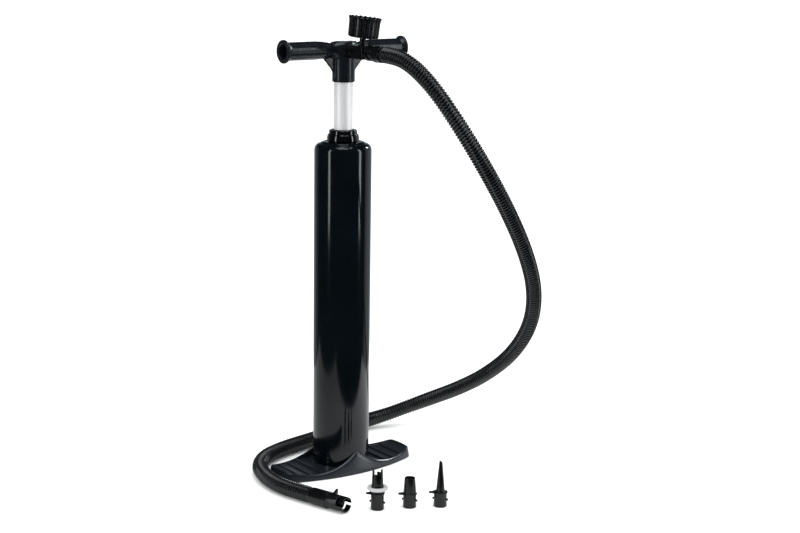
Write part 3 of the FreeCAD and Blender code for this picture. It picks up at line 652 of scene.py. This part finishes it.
def foot_base():
    outline, inward = base_outline()
    count = len(outline)
    points = []
    rings = []

    def add_ring(places):
        rings.append([len(points) + i for i in range(count)])
        points.extend(places)

    def wall_ring(inset, height):
        """height(x) gives each point's height. The wall leans in as it rises."""
        places = []
        for place, normal in zip(outline, inward):
            z = height((place + normal * inset)[0])
            places.append((*(place + normal * (inset + z * WALL_LEAN)), z))
        add_ring(places)

    def tread_z(x):
        return rim_z(x, RIM_LOW_Z - TREAD_DROP, RIM_LOW_Z - TREAD_DROP + 0.5)

    add_ring([(0.01 * x, 0.01 * y, 0) for x, y in outline])
    wall_ring(1.0, lambda x: 0.0)
    wall_ring(0.3, lambda x: 0.25)
    wall_ring(0.0, lambda x: 1.0)
    for share in (0.25, 0.5, 0.75):
        wall_ring(0.0, lambda x: 1.0 + (rim_z(x) - 3.3) * share)
    for inset, drop in ((0.0, 2.3), (0.15, 1.75), (0.35, 1.5), (1.75, 0.32), (2.0, 0.14), (2.5, 0.0)):
        wall_ring(inset, lambda x: rim_z(x) - drop)
    wall_ring(RIM_WIDTH - 1.0, rim_z)
    wall_ring(RIM_WIDTH - 0.25, lambda x: rim_z(x) - 0.4)
    wall_ring(RIM_WIDTH + 0.1, lambda x: rim_z(x) - 1.2)
    for share in (0.3, 0.6):
        wall_ring(RIM_WIDTH + 0.2,
                  lambda x: tread_z(x) + 0.7 + (rim_z(x) - tread_z(x) - 1.9) * (1 - share))
    wall_ring(RIM_WIDTH + 0.4, lambda x: tread_z(x) + 0.6)
    wall_ring(RIM_WIDTH + 0.9, lambda x: tread_z(x) + 0.12)
    wall_ring(RIM_WIDTH + 1.6, tread_z)
    edge = [points[i] for i in rings[-1]]
    for share in np.linspace(0.06, 1.0, 22):
        places = []
        for x, y, _ in edge:
            angle = math.atan2(y, x)
            inner = np.array([TREAD_INNER_R * math.cos(angle), TREAD_INNER_R * math.sin(angle)])
            place = np.array([x, y]) * (1 - share) + inner * share
            places.append((place[0], place[1], tread_z(place[0])))
        add_ring(places)
    add_ring([(x, y, 7.0) for x, y, _ in [points[i] for i in rings[-1]]])
    faces = []
    for low, high in zip(rings, rings[1:]):
        faces += band(low, high)
    faces.append(tuple(rings[0]))
    faces.append(tuple(rings[-1]))
    shells = [(points, faces)]
    for x in TREAD_RIBS_X:
        for side in (-1, 1):
            shells.append(tread_rib(side * x, tread_z))
    seat = rounded([(40, 5), (SEAT_R, 5), (SEAT_R, SEAT_TOP_Z), (40, SEAT_TOP_Z)], 0.9, 4, True)
    shells.append(closed_lathe(seat, 128))
    make_piece("moulded_foot_base", shells, ["foot_base"], 40)


def base_half_width(x):
    """Half width of the plan at a place along it."""
    half = BASE_HALF_LENGTH
    rise = BASE_HALF_WIDTH - BASE_END_HALF_WIDTH
    radius = (half ** 2 + rise ** 2) / (2 * rise)
    return BASE_HALF_WIDTH - radius + math.sqrt(radius ** 2 - x ** 2)


def tread_rib(x, tread_z):
    """A low bar across the tread with a rounded top."""
    height = rim_z(x) - 0.3 - tread_z(x)
    floor = tread_z(x)
    reach = base_half_width(x) - RIM_WIDTH - 1.8
    section = rounded([(-2.25, -1.0), (-2.0, height), (2.0, height), (2.25, -1.0)], 0.7, 4, True)
    stations = np.linspace(-reach, reach, 24)
    tilt = 0.0 if abs(x) < RIM_LOW_X else (abs(x) - RIM_LOW_X) / RIM_END_R * math.copysign(1, x)
    points = []
    for y in stations:
        points += [(x + u, y, floor + v + u * tilt) for u, v in section]
    count = len(section)
    faces = [tuple(range(count)), tuple(range(len(points) - 1, len(points) - 1 - count, -1))]
    return points, faces + stacked_bands(len(stations), count)


foot_base()


# Barrel and collar

BARREL_WALL = 2.5
SHOULDER_Z = 518.0
SHOULDER_REACH = 9.0
SHOULDER_RISE = 11.0
ROD_WALL = 1.5


def barrel():
    low, high = box_mm("barrel")
    radius = round(high.x, 1)
    bore = radius - BARREL_WALL
    outline = [(bore, low.z), (radius, low.z), (radius, SHOULDER_Z - 60), (radius, SHOULDER_Z)]
    for step in range(1, 13):
        angle = math.radians(90 * step / 12)
        outline.append((radius - SHOULDER_REACH + SHOULDER_REACH * math.cos(angle),
                        SHOULDER_Z + SHOULDER_RISE * math.sin(angle)))
    outline += [(33.4, 531.0), (29.6, 532.0), (28.4, 532.1), (27.2, 531.3), (25.6, 530.7), (20, 530.6),
                (20, 540), (18, 540), (18, 526), (34, 526), (40, 521), (bore, 512)]
    make_piece("moulded_barrel", [closed_lathe(outline, 160)], ["barrel"], 50)


def gland_nut():
    profile = rounded([(22.6, 530.75), (25.2, 533.6), (25.3, 538.4), (24.1, 542.7), (22.4, 543.7),
                       (21.9, 549.4), (20.9, 550.3), (17.6, 550.3), (17.6, 545.6), (20.0, 545.6), (20.0, 534),
                       (21.6, 532.8), (21.6, 530.75)], 0.9, 5, True)
    make_piece("two_step_collar", [closed_lathe(profile, 128)], ["gland_nut"], 60)


def rod():
    low, high = box_mm("rod")
    radius = round(high.x, 1)
    bore = radius - ROD_WALL
    profile = rounded([(bore, low.z), (radius, low.z), (radius, high.z), (bore, high.z)], 0.3, 2, True)
    make_piece("drawn_rod", [closed_lathe(profile, 96)], ["rod"], 50)


barrel()
gland_nut()
rod()


# Handle

GRIP_Z = 674.9
GRIP_R = 14.0
GRIP_END_X = 112.0
FLANGE_R = 18.0
GRIP_BORE_R = 11.0
SOCKET_Z = 625.0
SOCKET_R = 17.7
HUB_TOP_Z = 687.5
OUTLET_Z = 674.0
GUSSET_EDGE = [(41, 665), (37.5, 661.5), (30, 653), (23, 645), (18.5, 637), (17.5, 632)]


def polygon_distance(points, outline):
    """Signed distance of 2-D points to a closed outline, negative inside."""
    outline = np.array(outline, float)
    following = np.roll(outline, -1, axis=0)
    best = np.full(len(points), 1e9)
    sign = np.ones(len(points))
    for a, b in zip(outline, following):
        edge = b - a
        offset = points - a
        t = np.clip((offset @ edge) / (edge @ edge), 0, 1)
        best = np.minimum(best, np.sum((offset - t[:, None] * edge) ** 2, axis=1))
        above_a = points[:, 1] >= a[1]
        below_b = points[:, 1] < b[1]
        left = edge[0] * offset[:, 1] > edge[1] * offset[:, 0]
        flip = (above_a & below_b & left) | (~above_a & ~below_b & ~left)
        sign = np.where(flip, -sign, sign)
    return sign * np.sqrt(best)


def merged(a, b, radius):
    """Smooth union of two distance fields, with a fillet of about the radius."""
    blend = np.clip(0.5 + 0.5 * (b - a) / radius, 0, 1)
    return b * (1 - blend) + a * blend - radius * blend * (1 - blend)


def handle_field(p):
    """Distance to the handle's outer skin, in millimetres."""
    across = np.abs(p[:, 0])
    from_axis = np.hypot(p[:, 1], p[:, 2] - GRIP_Z)
    grip = polygon_distance(np.column_stack([across, from_axis]),
                            rounded([(-5, -5), (GRIP_END_X, -5), (GRIP_END_X, FLANGE_R - 0.2),
                                     (GRIP_END_X - 3.4, FLANGE_R), (GRIP_END_X - 5.2, GRIP_R + 2.2),
                                     (GRIP_END_X - 9, GRIP_R), (52, GRIP_R), (40, GRIP_R - 0.9), (24, 10.4),
                                     (-5, 10.4)], 1.2, 4, True))
    hub_r = np.hypot(p[:, 0], p[:, 1])
    hub = polygon_distance(np.column_stack([hub_r, p[:, 2]]),
                           rounded([(-5, SOCKET_Z), (SOCKET_R, SOCKET_Z), (SOCKET_R, 662),
                                    (SOCKET_R + 0.6, 668), (SOCKET_R + 0.6, 682),
                                    (SOCKET_R - 2, HUB_TOP_Z - 0.6), (-5, HUB_TOP_Z - 0.6)], 1.3, 4, True))
    flat = polygon_distance(np.column_stack([across, p[:, 2]]), [(10, 672)] + GUSSET_EDGE + [(10, 632)])
    gusset = np.maximum(flat, np.abs(p[:, 1]) - 1.6)
    nub = np.maximum(np.hypot(across - 21, p[:, 1]) - 2.5, np.abs(p[:, 2] - (GRIP_Z + 5)) - 7.4)
    spigot = np.maximum(np.hypot(p[:, 0], p[:, 2] - OUTLET_Z) - 8.4, np.maximum(p[:, 1], -26.8 - p[:, 1]))
    skin = merged(grip, hub, 7.0)
    skin = merged(skin, gusset, 2.2)
    skin = merged(skin, nub, 1.2)
    return merged(skin, spigot, 1.5)


def settle(mesh, field, rounds):
    """Moves every vertex onto the field's zero surface."""
    count = len(mesh.vertices)
    flat = np.zeros(count * 3, np.float32)
    mesh.vertices.foreach_get("co", flat)
    p = flat.reshape(-1, 3).astype(float) / MM
    step = 0.05
    for _ in range(rounds):
        here = field(p)
        slope = np.stack([(field(p + np.eye(3)[i] * step) - field(p - np.eye(3)[i] * step)) / (2 * step)
                          for i in range(3)], axis=1)
        size = np.maximum(np.sum(slope ** 2, axis=1), 0.25)
        p = p - np.clip(here / size, -0.5, 0.5)[:, None] * slope
    mesh.vertices.foreach_set("co", (p * MM).astype(np.float32).ravel())
    mesh.update()


def handle():
    """Outer skin from a voxel remesh settled on a smooth field, then the bores."""
    right = lathe(rounded([(0, 0), (10.4, 0), (10.4, 24), (13.1, 40), (GRIP_R, 52), (GRIP_R, GRIP_END_X - 9),
                           (GRIP_R + 2.2, GRIP_END_X - 5.2), (FLANGE_R, GRIP_END_X - 3.4),
                           (FLANGE_R, GRIP_END_X), (0, GRIP_END_X)], 1.2, 3), 64)
    hub = lathe([(0, SOCKET_Z), (SOCKET_R, SOCKET_Z), (SOCKET_R, 664), (SOCKET_R + 0.6, 668),
                 (SOCKET_R + 0.6, 682), (SOCKET_R - 2, HUB_TOP_Z - 0.6), (0, HUB_TOP_Z - 0.6)], 64)
    gusset = prism([(0, 672)] + GUSSET_EDGE + [(0, 632)], 3.2)
    shells = [hub, bar((0, 0, OUTLET_Z), (0, -1, 0), 8.4, 26.8)]
    for side in (1, -1):
        shells.append(moved(right, along((0, 0, GRIP_Z), (side, 0, 0))))
        shells.append(moved(gusset, turned(0 if side > 0 else 180)))
        shells.append(bar((side * 21, 0, GRIP_Z), (0, 0, 1), 2.5, 12.4))
    skin = loose_object("moulded_handle", shells)
    remesh = skin.modifiers.new("remesh", "REMESH")
    remesh.mode = "VOXEL"
    remesh.voxel_size = 1.0 * MM
    bpy.context.view_layer.update()
    apply_modifiers(skin)
    settle(skin.data, handle_field, 6)
    bores = [
        bar((0, 0, SOCKET_Z - 2), (0, 0, 1), 15.02, 41, 0.05, 96),
        bar((0, 0, 660), (0, 0, 1), 11, 23.2, 0.05, 64),
        bar((0, 0, 683), (0, 0, 1), 13.1, 12, 0.05, 64),
        bar((0, 4, OUTLET_Z), (0, -1, 0), 6, 40, 0.05, 48),
    ]
    grip_bore = lathe(rounded([(0, 50), (GRIP_BORE_R - 3, 50), (GRIP_BORE_R, 54), (GRIP_BORE_R, 110.8),
                               (GRIP_BORE_R + 2.2, 113), (0, 113)], 0.8, 3), 96)
    for side in (1, -1):
        bores.append(moved(grip_bore, along((0, 0, GRIP_Z), (side, 0, 0))))
    combine(skin, bores, "DIFFERENCE")
    finish_piece(skin, ["handle"], 42)


handle()


def hub_cap():
    low, high = box_mm("hub_cap")
    radius = round(high.x, 1)
    profile = rounded([(0, low.z), (radius, low.z), (radius, high.z - 1.0), (radius - 1.6, high.z - 0.1),
                       (radius - 3.2, high.z - 0.5), (0, high.z - 0.3)], 0.6, 4)
    make_piece("hub_cap_disc", [lathe(profile, 96)], ["hub_cap"], 50)


hub_cap()


# Outlet tee, gauge and upper cuff

TEE_Y0 = -18.4
TEE_Y1 = -66.0
TEE_HALF_WIDTH = 12.0
TEE_HALF_HEIGHT = 10.2
GAUGE_Y = -49.5
GAUGE_FOOT_Z = OUTLET_Z + TEE_HALF_HEIGHT
GAUGE_LEAN = 6.0
GAUGE_LEAN_AXIS = Vector((0.566, 0.824, 0))
GAUGE_Z0 = 696.0
GAUGE_Z1 = 727.0
GAUGE_STEM_R = 4.85
GAUGE_CASE_R = 20.5
GAUGE_GLASS_R = 18.2
GAUGE_RIBS = 20
DIAL_MARKS = 50
DIAL_START = 225.0
DIAL_SWEEP = 270.0
HOOK_DEPTH = 11.0
HOOK_ANGLE = 125.0
ENTRY_ANGLE = 188.0
SLOT_WIDTH = 4.2
SLOT_WALL_R = 11.0
PIN_R = 1.75
CUFF_R = 12.6
PLUG_R = 11.8


def at_gauge():
    foot = Vector((0, GAUGE_Y, GAUGE_FOOT_Z))
    lean = Matrix.Rotation(math.radians(GAUGE_LEAN), 4, GAUGE_LEAN_AXIS)
    return Matrix.Translation(foot) @ lean @ Matrix.Translation((0, 0, -GAUGE_FOOT_Z))


def tee_body():
    block = rounded_box(-TEE_HALF_WIDTH, TEE_HALF_WIDTH, TEE_Y1, TEE_Y0, OUTLET_Z - TEE_HALF_HEIGHT,
                        OUTLET_Z + TEE_HALF_HEIGHT, 1.6, 4)
    thing = loose_object("outlet_tee", [block])
    combine(thing, [bar((0, TEE_Y0 + 2, OUTLET_Z), (0, -1, 0), 8.5, 12.8, 0.05, 64)], "DIFFERENCE")
    plug = rounded([(6.5, 0), (10, 0), (10, 23), (6.5, 23)], 0.6, 4, True)
    shells = [moved(closed_lathe(plug, 64), along((0, TEE_Y1 + 1, OUTLET_Z), (0, -1, 0)))]
    for side in (0, 180):
        direction = turned(HOOK_ANGLE - 90 + side, "Y") @ Vector((0, 0, 1))
        centre = Vector((0, TEE_Y1 - 0.4 - HOOK_DEPTH, OUTLET_Z))
        shells.append(bar(centre + direction * 8, direction, PIN_R, 4.2))
    boss = rounded([(3.1, -2), (6.4, -2), (6.4, 1.6), (3.1, 1.6)], 0.6, 4, True)
    boss = [(r, z + GAUGE_FOOT_Z) for r, z in boss]
    shells.append(moved(closed_lathe(boss, 64), at_gauge()))
    add_shells(thing, shells)
    finish_piece(thing, ["tee_body"], 40)


def add_shells(thing, shells):
    """Adds more closed shells to a loose object."""
    extra = loose_object("extra", shells)
    work = bmesh.new()
    work.from_mesh(thing.data)
    work.from_mesh(extra.data)
    work.to_mesh(thing.data)
    work.free()
    bpy.data.objects.remove(extra)


def gauge_case():
    profile = rounded([(1.4, GAUGE_FOOT_Z - 5), (3.0, GAUGE_FOOT_Z - 5), (3.0, GAUGE_FOOT_Z + 2),
                       (GAUGE_STEM_R, GAUGE_FOOT_Z + 2.6), (GAUGE_STEM_R, GAUGE_Z0 - 0.5),
                       (GAUGE_CASE_R - 1.6, GAUGE_Z0 + 1), (GAUGE_CASE_R, GAUGE_Z0 + 2.6),
                       (GAUGE_CASE_R, GAUGE_Z1 - 4), (GAUGE_GLASS_R, GAUGE_Z1 - 4),
                       (GAUGE_GLASS_R, GAUGE_Z0 + 3), (1.4, GAUGE_Z0 + 3)], 0.5, 3, True)
    shell = moved(closed_lathe(profile, 96), at_gauge())
    make_piece("gauge_stem_and_case", [shell], ["gauge_case"], 45)


def gauge_cover():
    """Ribbed sleeve that flares to a toothed rim. Its profile is (radius, height, rib depth)."""
    per_rib = 18
    segments = GAUGE_RIBS * per_rib
    profile = [(6.0, 0.0, 0), (20.4, 0.0, 0), (21.4, 0.5, 0.4), (22.2, 1.6, 0.8), (22.5, 3.6, 0.9),
               (22.6, 10, 0.9), (22.8, 17, 0.9), (23.0, 24, 0.9), (23.2, 27, 1), (23.6, 29, 1.2),
               (23.9, 30.4, 1.3), (23.8, 31.3, 1.2), (23.2, 31.9, 0.8), (22.2, 31.4, 0.1), (21.45, 31.0, 0),
               (21.4, 27.2, 0), (20.55, 27.0, 0), (20.55, 1.7, 0), (6.0, 1.7, 0)]
    points = []
    for radius, height, rib in profile:
        for i in range(segments):
            place = (i % per_rib) / per_rib
            wave = 0.5 + 0.5 * math.cos(2 * math.pi * place)
            tooth = min(1.0, max(0.0, (wave - 0.35) / 0.35))
            tooth = tooth * tooth * (3 - 2 * tooth)
            angle = 2 * math.pi * i / segments
            out = radius - 0.4 * rib + rib * 1.5 * tooth
            drop = 1.6 * (1 - tooth) if height > 30 and rib > 0 else 0.0
            points.append((out * math.cos(angle), out * math.sin(angle), GAUGE_Z0 + height - drop))
    faces = stacked_bands(len(profile), segments, True)
    make_piece("ribbed_gauge_cover", [moved((points, faces), at_gauge())], ["gauge_cover"], 45)


def gauge_bezel():
    rim = GAUGE_CASE_R + 0.85
    profile = rounded([(16.6, GAUGE_Z0 + 27), (rim, GAUGE_Z0 + 27), (rim, GAUGE_Z0 + 29),
                       (18.2, GAUGE_Z0 + 29), (16.6, GAUGE_Z0 + 27.6)], 0.4, 3, True)
    make_piece("gauge_bezel_ring", [moved(closed_lathe(profile, 96), at_gauge())], ["gauge_bezel"], 50)


def gauge_dial():
    """White dial with raised marks: a long one every 27 degrees and short ones between."""
    low_z = GAUGE_Z0 + 20
    shells = [moved(closed_lathe(rounded([(0.95, low_z), (18.15, low_z), (18.15, low_z + 0.9),
                                          (0.95, low_z + 0.9)], 0.2, 2, True), 96), at_gauge())]
    make_piece("gauge_dial_plate", shells, ["gauge_dial"], 50)
    marks = []
    for i in range(DIAL_MARKS + 1):
        angle = DIAL_START - DIAL_SWEEP * i / DIAL_MARKS
        long_mark = i % 5 == 0
        inner = 12.4 if long_mark else 14.4
        wide = 0.42 if long_mark else 0.22
        shell = rounded_box(inner, 16.2, -wide, wide, low_z + 0.85, low_z + 1.0, 0.03, 1)
        marks.append(moved(shell, at_gauge() @ turned(angle)))
    ticks = loose_object("gauge_dial_marks", marks)
    ticks.data.materials.append(MATERIALS["black_plastic"])
    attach(ticks, "rod_group")


def hooked_slot(top):
    """Cutter for one bayonet slot: in from the mouth, then round the wall to a widened end."""
    middle = top - HOOK_DEPTH
    half = SLOT_WIDTH / 2
    half_turn = math.degrees(half / SLOT_WALL_R)
    pocket = half + 0.3
    steps = 14
    outline = [(ENTRY_ANGLE + half_turn, top + 2), (ENTRY_ANGLE - half_turn, top + 2),
               (ENTRY_ANGLE - half_turn, middle + half), (HOOK_ANGLE + 10, middle + half + 0.2)]
    for step in range(steps + 1):
        angle = math.radians(90 + 180 * step / steps)
        outline.append((HOOK_ANGLE + math.degrees(pocket / SLOT_WALL_R) * math.cos(angle),
                        middle + pocket * math.sin(angle)))
    outline += [(ENTRY_ANGLE - 20, middle - half), (ENTRY_ANGLE, middle - half),
                (ENTRY_ANGLE + half_turn, middle - half * 0.4)]
    dense = []
    for a, b in zip(outline, outline[1:] + outline[:1]):
        pieces = max(1, int(abs(a[0] - b[0]) / 4))
        for i in range(pieces):
            t = i / pieces
            dense.append((a[0] * (1 - t) + b[0] * t, a[1] * (1 - t) + b[1] * t))
    points = []
    for radius in (8.5, 14.5):
        for angle, z in dense:
            points.append((radius * math.cos(math.radians(angle)), radius * math.sin(math.radians(angle)), z))
    count = len(dense)
    faces = [tuple(range(count)), tuple(range(2 * count - 1, count - 1, -1))]
    return points, faces + stacked_bands(2, count)


def bayonet_cuff(name, node, grip_length, plug_length, tab_z, tab_height, place):
    """Hose cuff with a stepped grip, a bayonet mouth with two hooked slots, and a thumb tab."""
    top = grip_length + plug_length
    steps = [(10.5, 0), (CUFF_R - 0.3, 0), (CUFF_R, 0.8), (CUFF_R, grip_length - 3.2),
             (CUFF_R + 0.4, grip_length - 2), (CUFF_R + 0.4, grip_length), (PLUG_R, grip_length + 1.2),
             (PLUG_R, top), (10.15, top), (10.15, grip_length + 0.5), (10.5, grip_length)]
    thing = loose_object(name, [closed_lathe(rounded(steps, 0.35, 3, True), 96)])
    slots = [moved(hooked_slot(top), turned(turn)) for turn in (0, 180)]
    combine(thing, slots, "DIFFERENCE")
    crest = PLUG_R + tab_height
    tab = prism([(11.0, tab_z), (11.0, tab_z + 9), (crest, tab_z + 8), (crest, tab_z + 6.5)], 3.0, 0.5)
    add_shells(thing, [moved(tab, turned(90))])
    soften_edges(thing, 0.28, 40, 2)
    thing.data.transform(Matrix.Scale(1000, 4))
    thing.data.transform(place)
    thing.data.transform(Matrix.Scale(MM, 4))
    finish_piece(thing, [node], 35)
    return thing


tee_body()
gauge_case()
gauge_cover()
gauge_bezel()
gauge_dial()
UPPER_CUFF_PLACE = Matrix.Translation(Vector(HOSE_ROUTE[0]) / MM) @ turned(-90, "X") @ turned(180)
bayonet_cuff("upper_bayonet_cuff", "upper_hose_cuff", 16.6, 23.0, 29.8, 5.4, UPPER_CUFF_PLACE)
END_DIRECTION = Vector(HOSE_ROUTE[-1]) - Vector(HOSE_ROUTE[-2])
END_PLACE = along(Vector(HOSE_ROUTE[-1]) / MM, END_DIRECTION)
end_cuff = bayonet_cuff("end_bayonet_cuff", "hose_end_fitting", 32.0, 34.0, 36.0, 8.0, END_PLACE)


# Loose nozzles

NOZZLE_TAB_ANGLE = 147.0
NOZZLE_PIN_ANGLE = -55.0
NOZZLE_PIN_Z = 11.0
NOZZLE_PLACES = {"valve_adapter": (-69, -199), "tube_nozzle": (-23, -219), "cone_nozzle": (18, -242)}


def nozzle(name, node, outer, bore, flange_z, cutters=()):
    """Turned body with its bore cut out, two bayonet pins and a thumb tab."""
    thing = loose_object(name, [lathe(rounded(outer, 0.45, 4), 96)])
    combine(thing, [lathe(bore, 64)] + list(cutters), "DIFFERENCE")
    soften_edges(thing, 0.3, 50, 2)
    shells = []
    for side in (0, 180):
        direction = turned(NOZZLE_PIN_ANGLE + side) @ Vector((1, 0, 0))
        shells.append(bar(Vector((0, 0, NOZZLE_PIN_Z)) + direction * 9, direction, PIN_R, 3.3))
    flat = prism([(8.6, 4.4), (17.5, 1.5), (17.5, -1.5), (8.6, -4.4)], 2.4, 0.5)
    flat = moved(flat, Matrix.Translation((0, 0, flange_z + 1.2)) @ turned(90, "X"))
    shells.append(moved(flat, turned(NOZZLE_TAB_ANGLE)))
    add_shells(thing, shells)
    thing.data.transform(Matrix.Translation(Vector((*NOZZLE_PLACES[node], 0)) * MM))
    finish_piece(thing, [node], 35)
    return thing


def valve_adapter():
    outer = [(0, 0), (10, 0), (10, 23.4), (11.2, 23.6), (11.2, 25.9), (10.2, 26.2), (13.2, 29.6), (13.2, 31),
             (9.3, 31), (9.3, 36), (8.9, 38), (7.8, 63), (0, 63)]
    bore = [(0, -2), (8, -2), (8, 23.9), (6, 24.1), (6, 66), (0, 66)]
    cutters = []
    for i in range(4):
        gap = rounded_box(0, 14, -2.6, 2.6, 49, 70, 0.4, 2)
        cutters.append(moved(gap, turned(45 + NOZZLE_PIN_ANGLE + 90 * i)))
    cutters.append(moved(rounded_box(-14, 14, -4.6, 4.6, 56, 70, 0.4, 2), turned(NOZZLE_PIN_ANGLE + 90)))
    return nozzle("valve_adapter_body", "valve_adapter", outer, bore, 23.5, cutters)


def valve_gasket():
    profile = rounded([(9.45, 31.05), (16, 31.05), (16, 35.4), (9.45, 35.4)], 1.5, 6, True)
    ring = moved(closed_lathe(profile, 96), Matrix.Translation((*NOZZLE_PLACES["valve_adapter"], 0)))
    make_piece("grey_valve_gasket", [ring], ["valve_adapter_gasket"], 50)


def tube_nozzle():
    outer = [(0, 0), (10, 0), (10, 19.3), (11.1, 19.6), (11.1, 21.8), (9.8, 22.2), (9.4, 30), (8.0, 46.2),
             (0, 46.2)]
    bore = [(0, -2), (8, -2), (8, 21.9), (6.6, 22.1), (6.6, 50), (0, 50)]
    return nozzle("tube_nozzle_body", "tube_nozzle", outer, bore, 19.5)


def cone_nozzle():
    outer = [(0, 0), (10, 0), (10, 20.3), (11.1, 20.6), (11.1, 22.8), (7.6, 23.2), (6.6, 25.5), (2.15, 73),
             (0, 73)]
    bore = [(0, -2), (8, -2), (8, 19.9), (5, 20.1), (1.1, 80), (0, 80)]
    tip = moved(rounded_box(-10, 10, -10, 10, 0, 20, 0.01, 1),
                turned(-35) @ Matrix.Translation((0, 0, 70.6)) @ turned(38, "Y"))
    return nozzle("cone_nozzle_body", "cone_nozzle", outer, bore, 20.5, [tip])


valve_adapter()
valve_gasket()
tube_nozzle()
cone_nozzle()


# Stage

FLOOR = (-0.62, 0.62, -0.40, 0.62)       # low x, high x, low y, high y
# Painted reflection: the floor's tone as gloss rays see it, darker at the left than at the right.
FLOOR_GLOSS = (0.32, 0.85)     # the floor's tone in a gloss, at the left and at the right
SURROUND = 1.35                # brightness of the white surroundings
GLOSS_BACK = 0.5               # as a gloss sees them, low at the back
GLOSS_DARK = 0.02              # and elsewhere


def make_floor():
    """Pale floor. It ends a little in front of the pump. In a gloss it shows a painted reflection: dimmer,
    more so to the left.
    """
    mesh = bpy.data.meshes.new("floor")
    low_x, high_x, low_y, high_y = FLOOR
    mesh.from_pydata([(low_x, low_y, 0), (high_x, low_y, 0), (high_x, high_y, 0), (low_x, high_y, 0)], [],
                     [(0, 1, 2, 3)])
    material, tree, shader = new_material("pale_floor")
    shade = ramp(tree, noise(tree, 1.5, 2), 0.3, 0.7, ((0.95, 0.95, 0.95), (0.97, 0.97, 0.97)))
    place = tree.nodes.new("ShaderNodeTexCoord")
    split = tree.nodes.new("ShaderNodeSeparateXYZ")
    tree.links.new(place.outputs["Object"], split.inputs["Vector"])
    across = tree.nodes.new("ShaderNodeMapRange")
    across.inputs["From Min"].default_value = -0.5
    across.inputs["From Max"].default_value = 0.5
    across.inputs["To Min"].default_value = FLOOR_GLOSS[0]
    across.inputs["To Max"].default_value = FLOOR_GLOSS[1]
    tree.links.new(split.outputs["X"], across.inputs["Value"])
    # Painted reflection: gloss rays see the floor tone from FLOOR_GLOSS, graded along X. All other rays see
    # the pale floor.
    path = tree.nodes.new("ShaderNodeLightPath")
    choice = tree.nodes.new("ShaderNodeMix")
    choice.data_type = "RGBA"
    tree.links.new(path.outputs["Is Glossy Ray"], choice.inputs["Factor"])
    tree.links.new(shade, choice.inputs[6])
    tree.links.new(across.outputs["Result"], choice.inputs[7])
    tree.links.new(choice.outputs[2], shader.inputs["Base Color"])
    shader.inputs["Roughness"].default_value = 0.9
    shader.inputs["Specular IOR Level"].default_value = 0.1
    mesh.materials.append(material)
    floor = bpy.data.objects.new("floor", mesh)
    floor.location.z = -0.0005
    bpy.context.scene.collection.objects.link(floor)


def area_light(name, place, target, width, height, glow):
    """A soft box. Its glow is the brightness of its face."""
    light = bpy.data.lights.new(name, "AREA")
    light.shape = "RECTANGLE"
    light.size = width
    light.size_y = height
    light.energy = glow * math.pi * width * height
    lamp = bpy.data.objects.new(name, light)
    lamp.location = place
    aim = Vector(target) - Vector(place)
    lamp.rotation_euler = aim.to_track_quat("-Z", "Y").to_euler()
    light.color = (0.93, 0.98, 1.0)
    lamp.visible_camera = False
    bpy.context.scene.collection.objects.link(lamp)


def make_light():
    """White surroundings that light the scene evenly. A gloss sees them dark, paler low down at the back."""
    world = bpy.data.worlds.new("studio")
    world.use_nodes = True
    tree = world.node_tree
    back = tree.nodes["Background"]
    path = tree.nodes.new("ShaderNodeLightPath")
    place = tree.nodes.new("ShaderNodeTexCoord")
    towards = tree.nodes.new("ShaderNodeVectorMath")
    towards.operation = "DOT_PRODUCT"
    towards.inputs[1].default_value = (0.596, 0.803, 0)
    tree.links.new(place.outputs["Generated"], towards.inputs[0])
    split = tree.nodes.new("ShaderNodeSeparateXYZ")
    tree.links.new(place.outputs["Generated"], split.inputs["Vector"])

    def eased(value, start, end, low, high):
        node = tree.nodes.new("ShaderNodeMapRange")
        node.interpolation_type = "SMOOTHSTEP"
        for name, number in (("From Min", start), ("From Max", end), ("To Min", low), ("To Max", high)):
            node.inputs[name].default_value = number
        tree.links.new(value, node.inputs["Value"])
        return node.outputs["Result"]

    behind = eased(towards.outputs["Value"], 0.2, 1.0, 0.0, 1.0)
    low_down = eased(split.outputs["Z"], 0.06, 0.38, GLOSS_BACK, 0.0)
    glow = tree.nodes.new("ShaderNodeMath")
    glow.operation = "MULTIPLY_ADD"
    glow.inputs[2].default_value = GLOSS_DARK
    tree.links.new(behind, glow.inputs[0])
    tree.links.new(low_down, glow.inputs[1])
    level = tree.nodes.new("ShaderNodeMix")
    level.inputs["A"].default_value = SURROUND
    tree.links.new(path.outputs["Is Glossy Ray"], level.inputs["Factor"])
    tree.links.new(glow.outputs["Value"], level.inputs["B"])
    tree.links.new(level.outputs["Result"], back.inputs["Strength"])
    tint = tree.nodes.new("ShaderNodeMix")
    tint.data_type = "RGBA"
    tint.inputs[6].default_value = (1, 1, 1, 1)
    tint.inputs[7].default_value = (0.82, 0.94, 1, 1)
    tree.links.new(path.outputs["Is Glossy Ray"], tint.inputs["Factor"])
    tree.links.new(tint.outputs[2], back.inputs["Color"])
    bpy.context.scene.world = world
    area_light("top_light", (-0.2, -0.5, 2.6), (0, 0, 0.3), 1.6, 1.6, 2.6)
    area_light("left_light", (-2.6, -0.03, 1.12), (0, -0.03, 1.12), 0.36, 2.4, 4.6)
    area_light("right_light", (1.61, -2.04, 1.12), (0, 0, 1.12), 0.42, 2.4, 4.8)
    area_light("side_light", (2.5, -0.45, 0.6), (0, 0, 0.6), 1.2, 2.6, 0.3)
    area_light("rim_light", (2.02, 0.2, 1.4), (0, 0, 0.1), 0.36, 0.42, 20.0)
    bpy.context.scene.view_settings.view_transform = "Standard"


make_floor()
make_light()
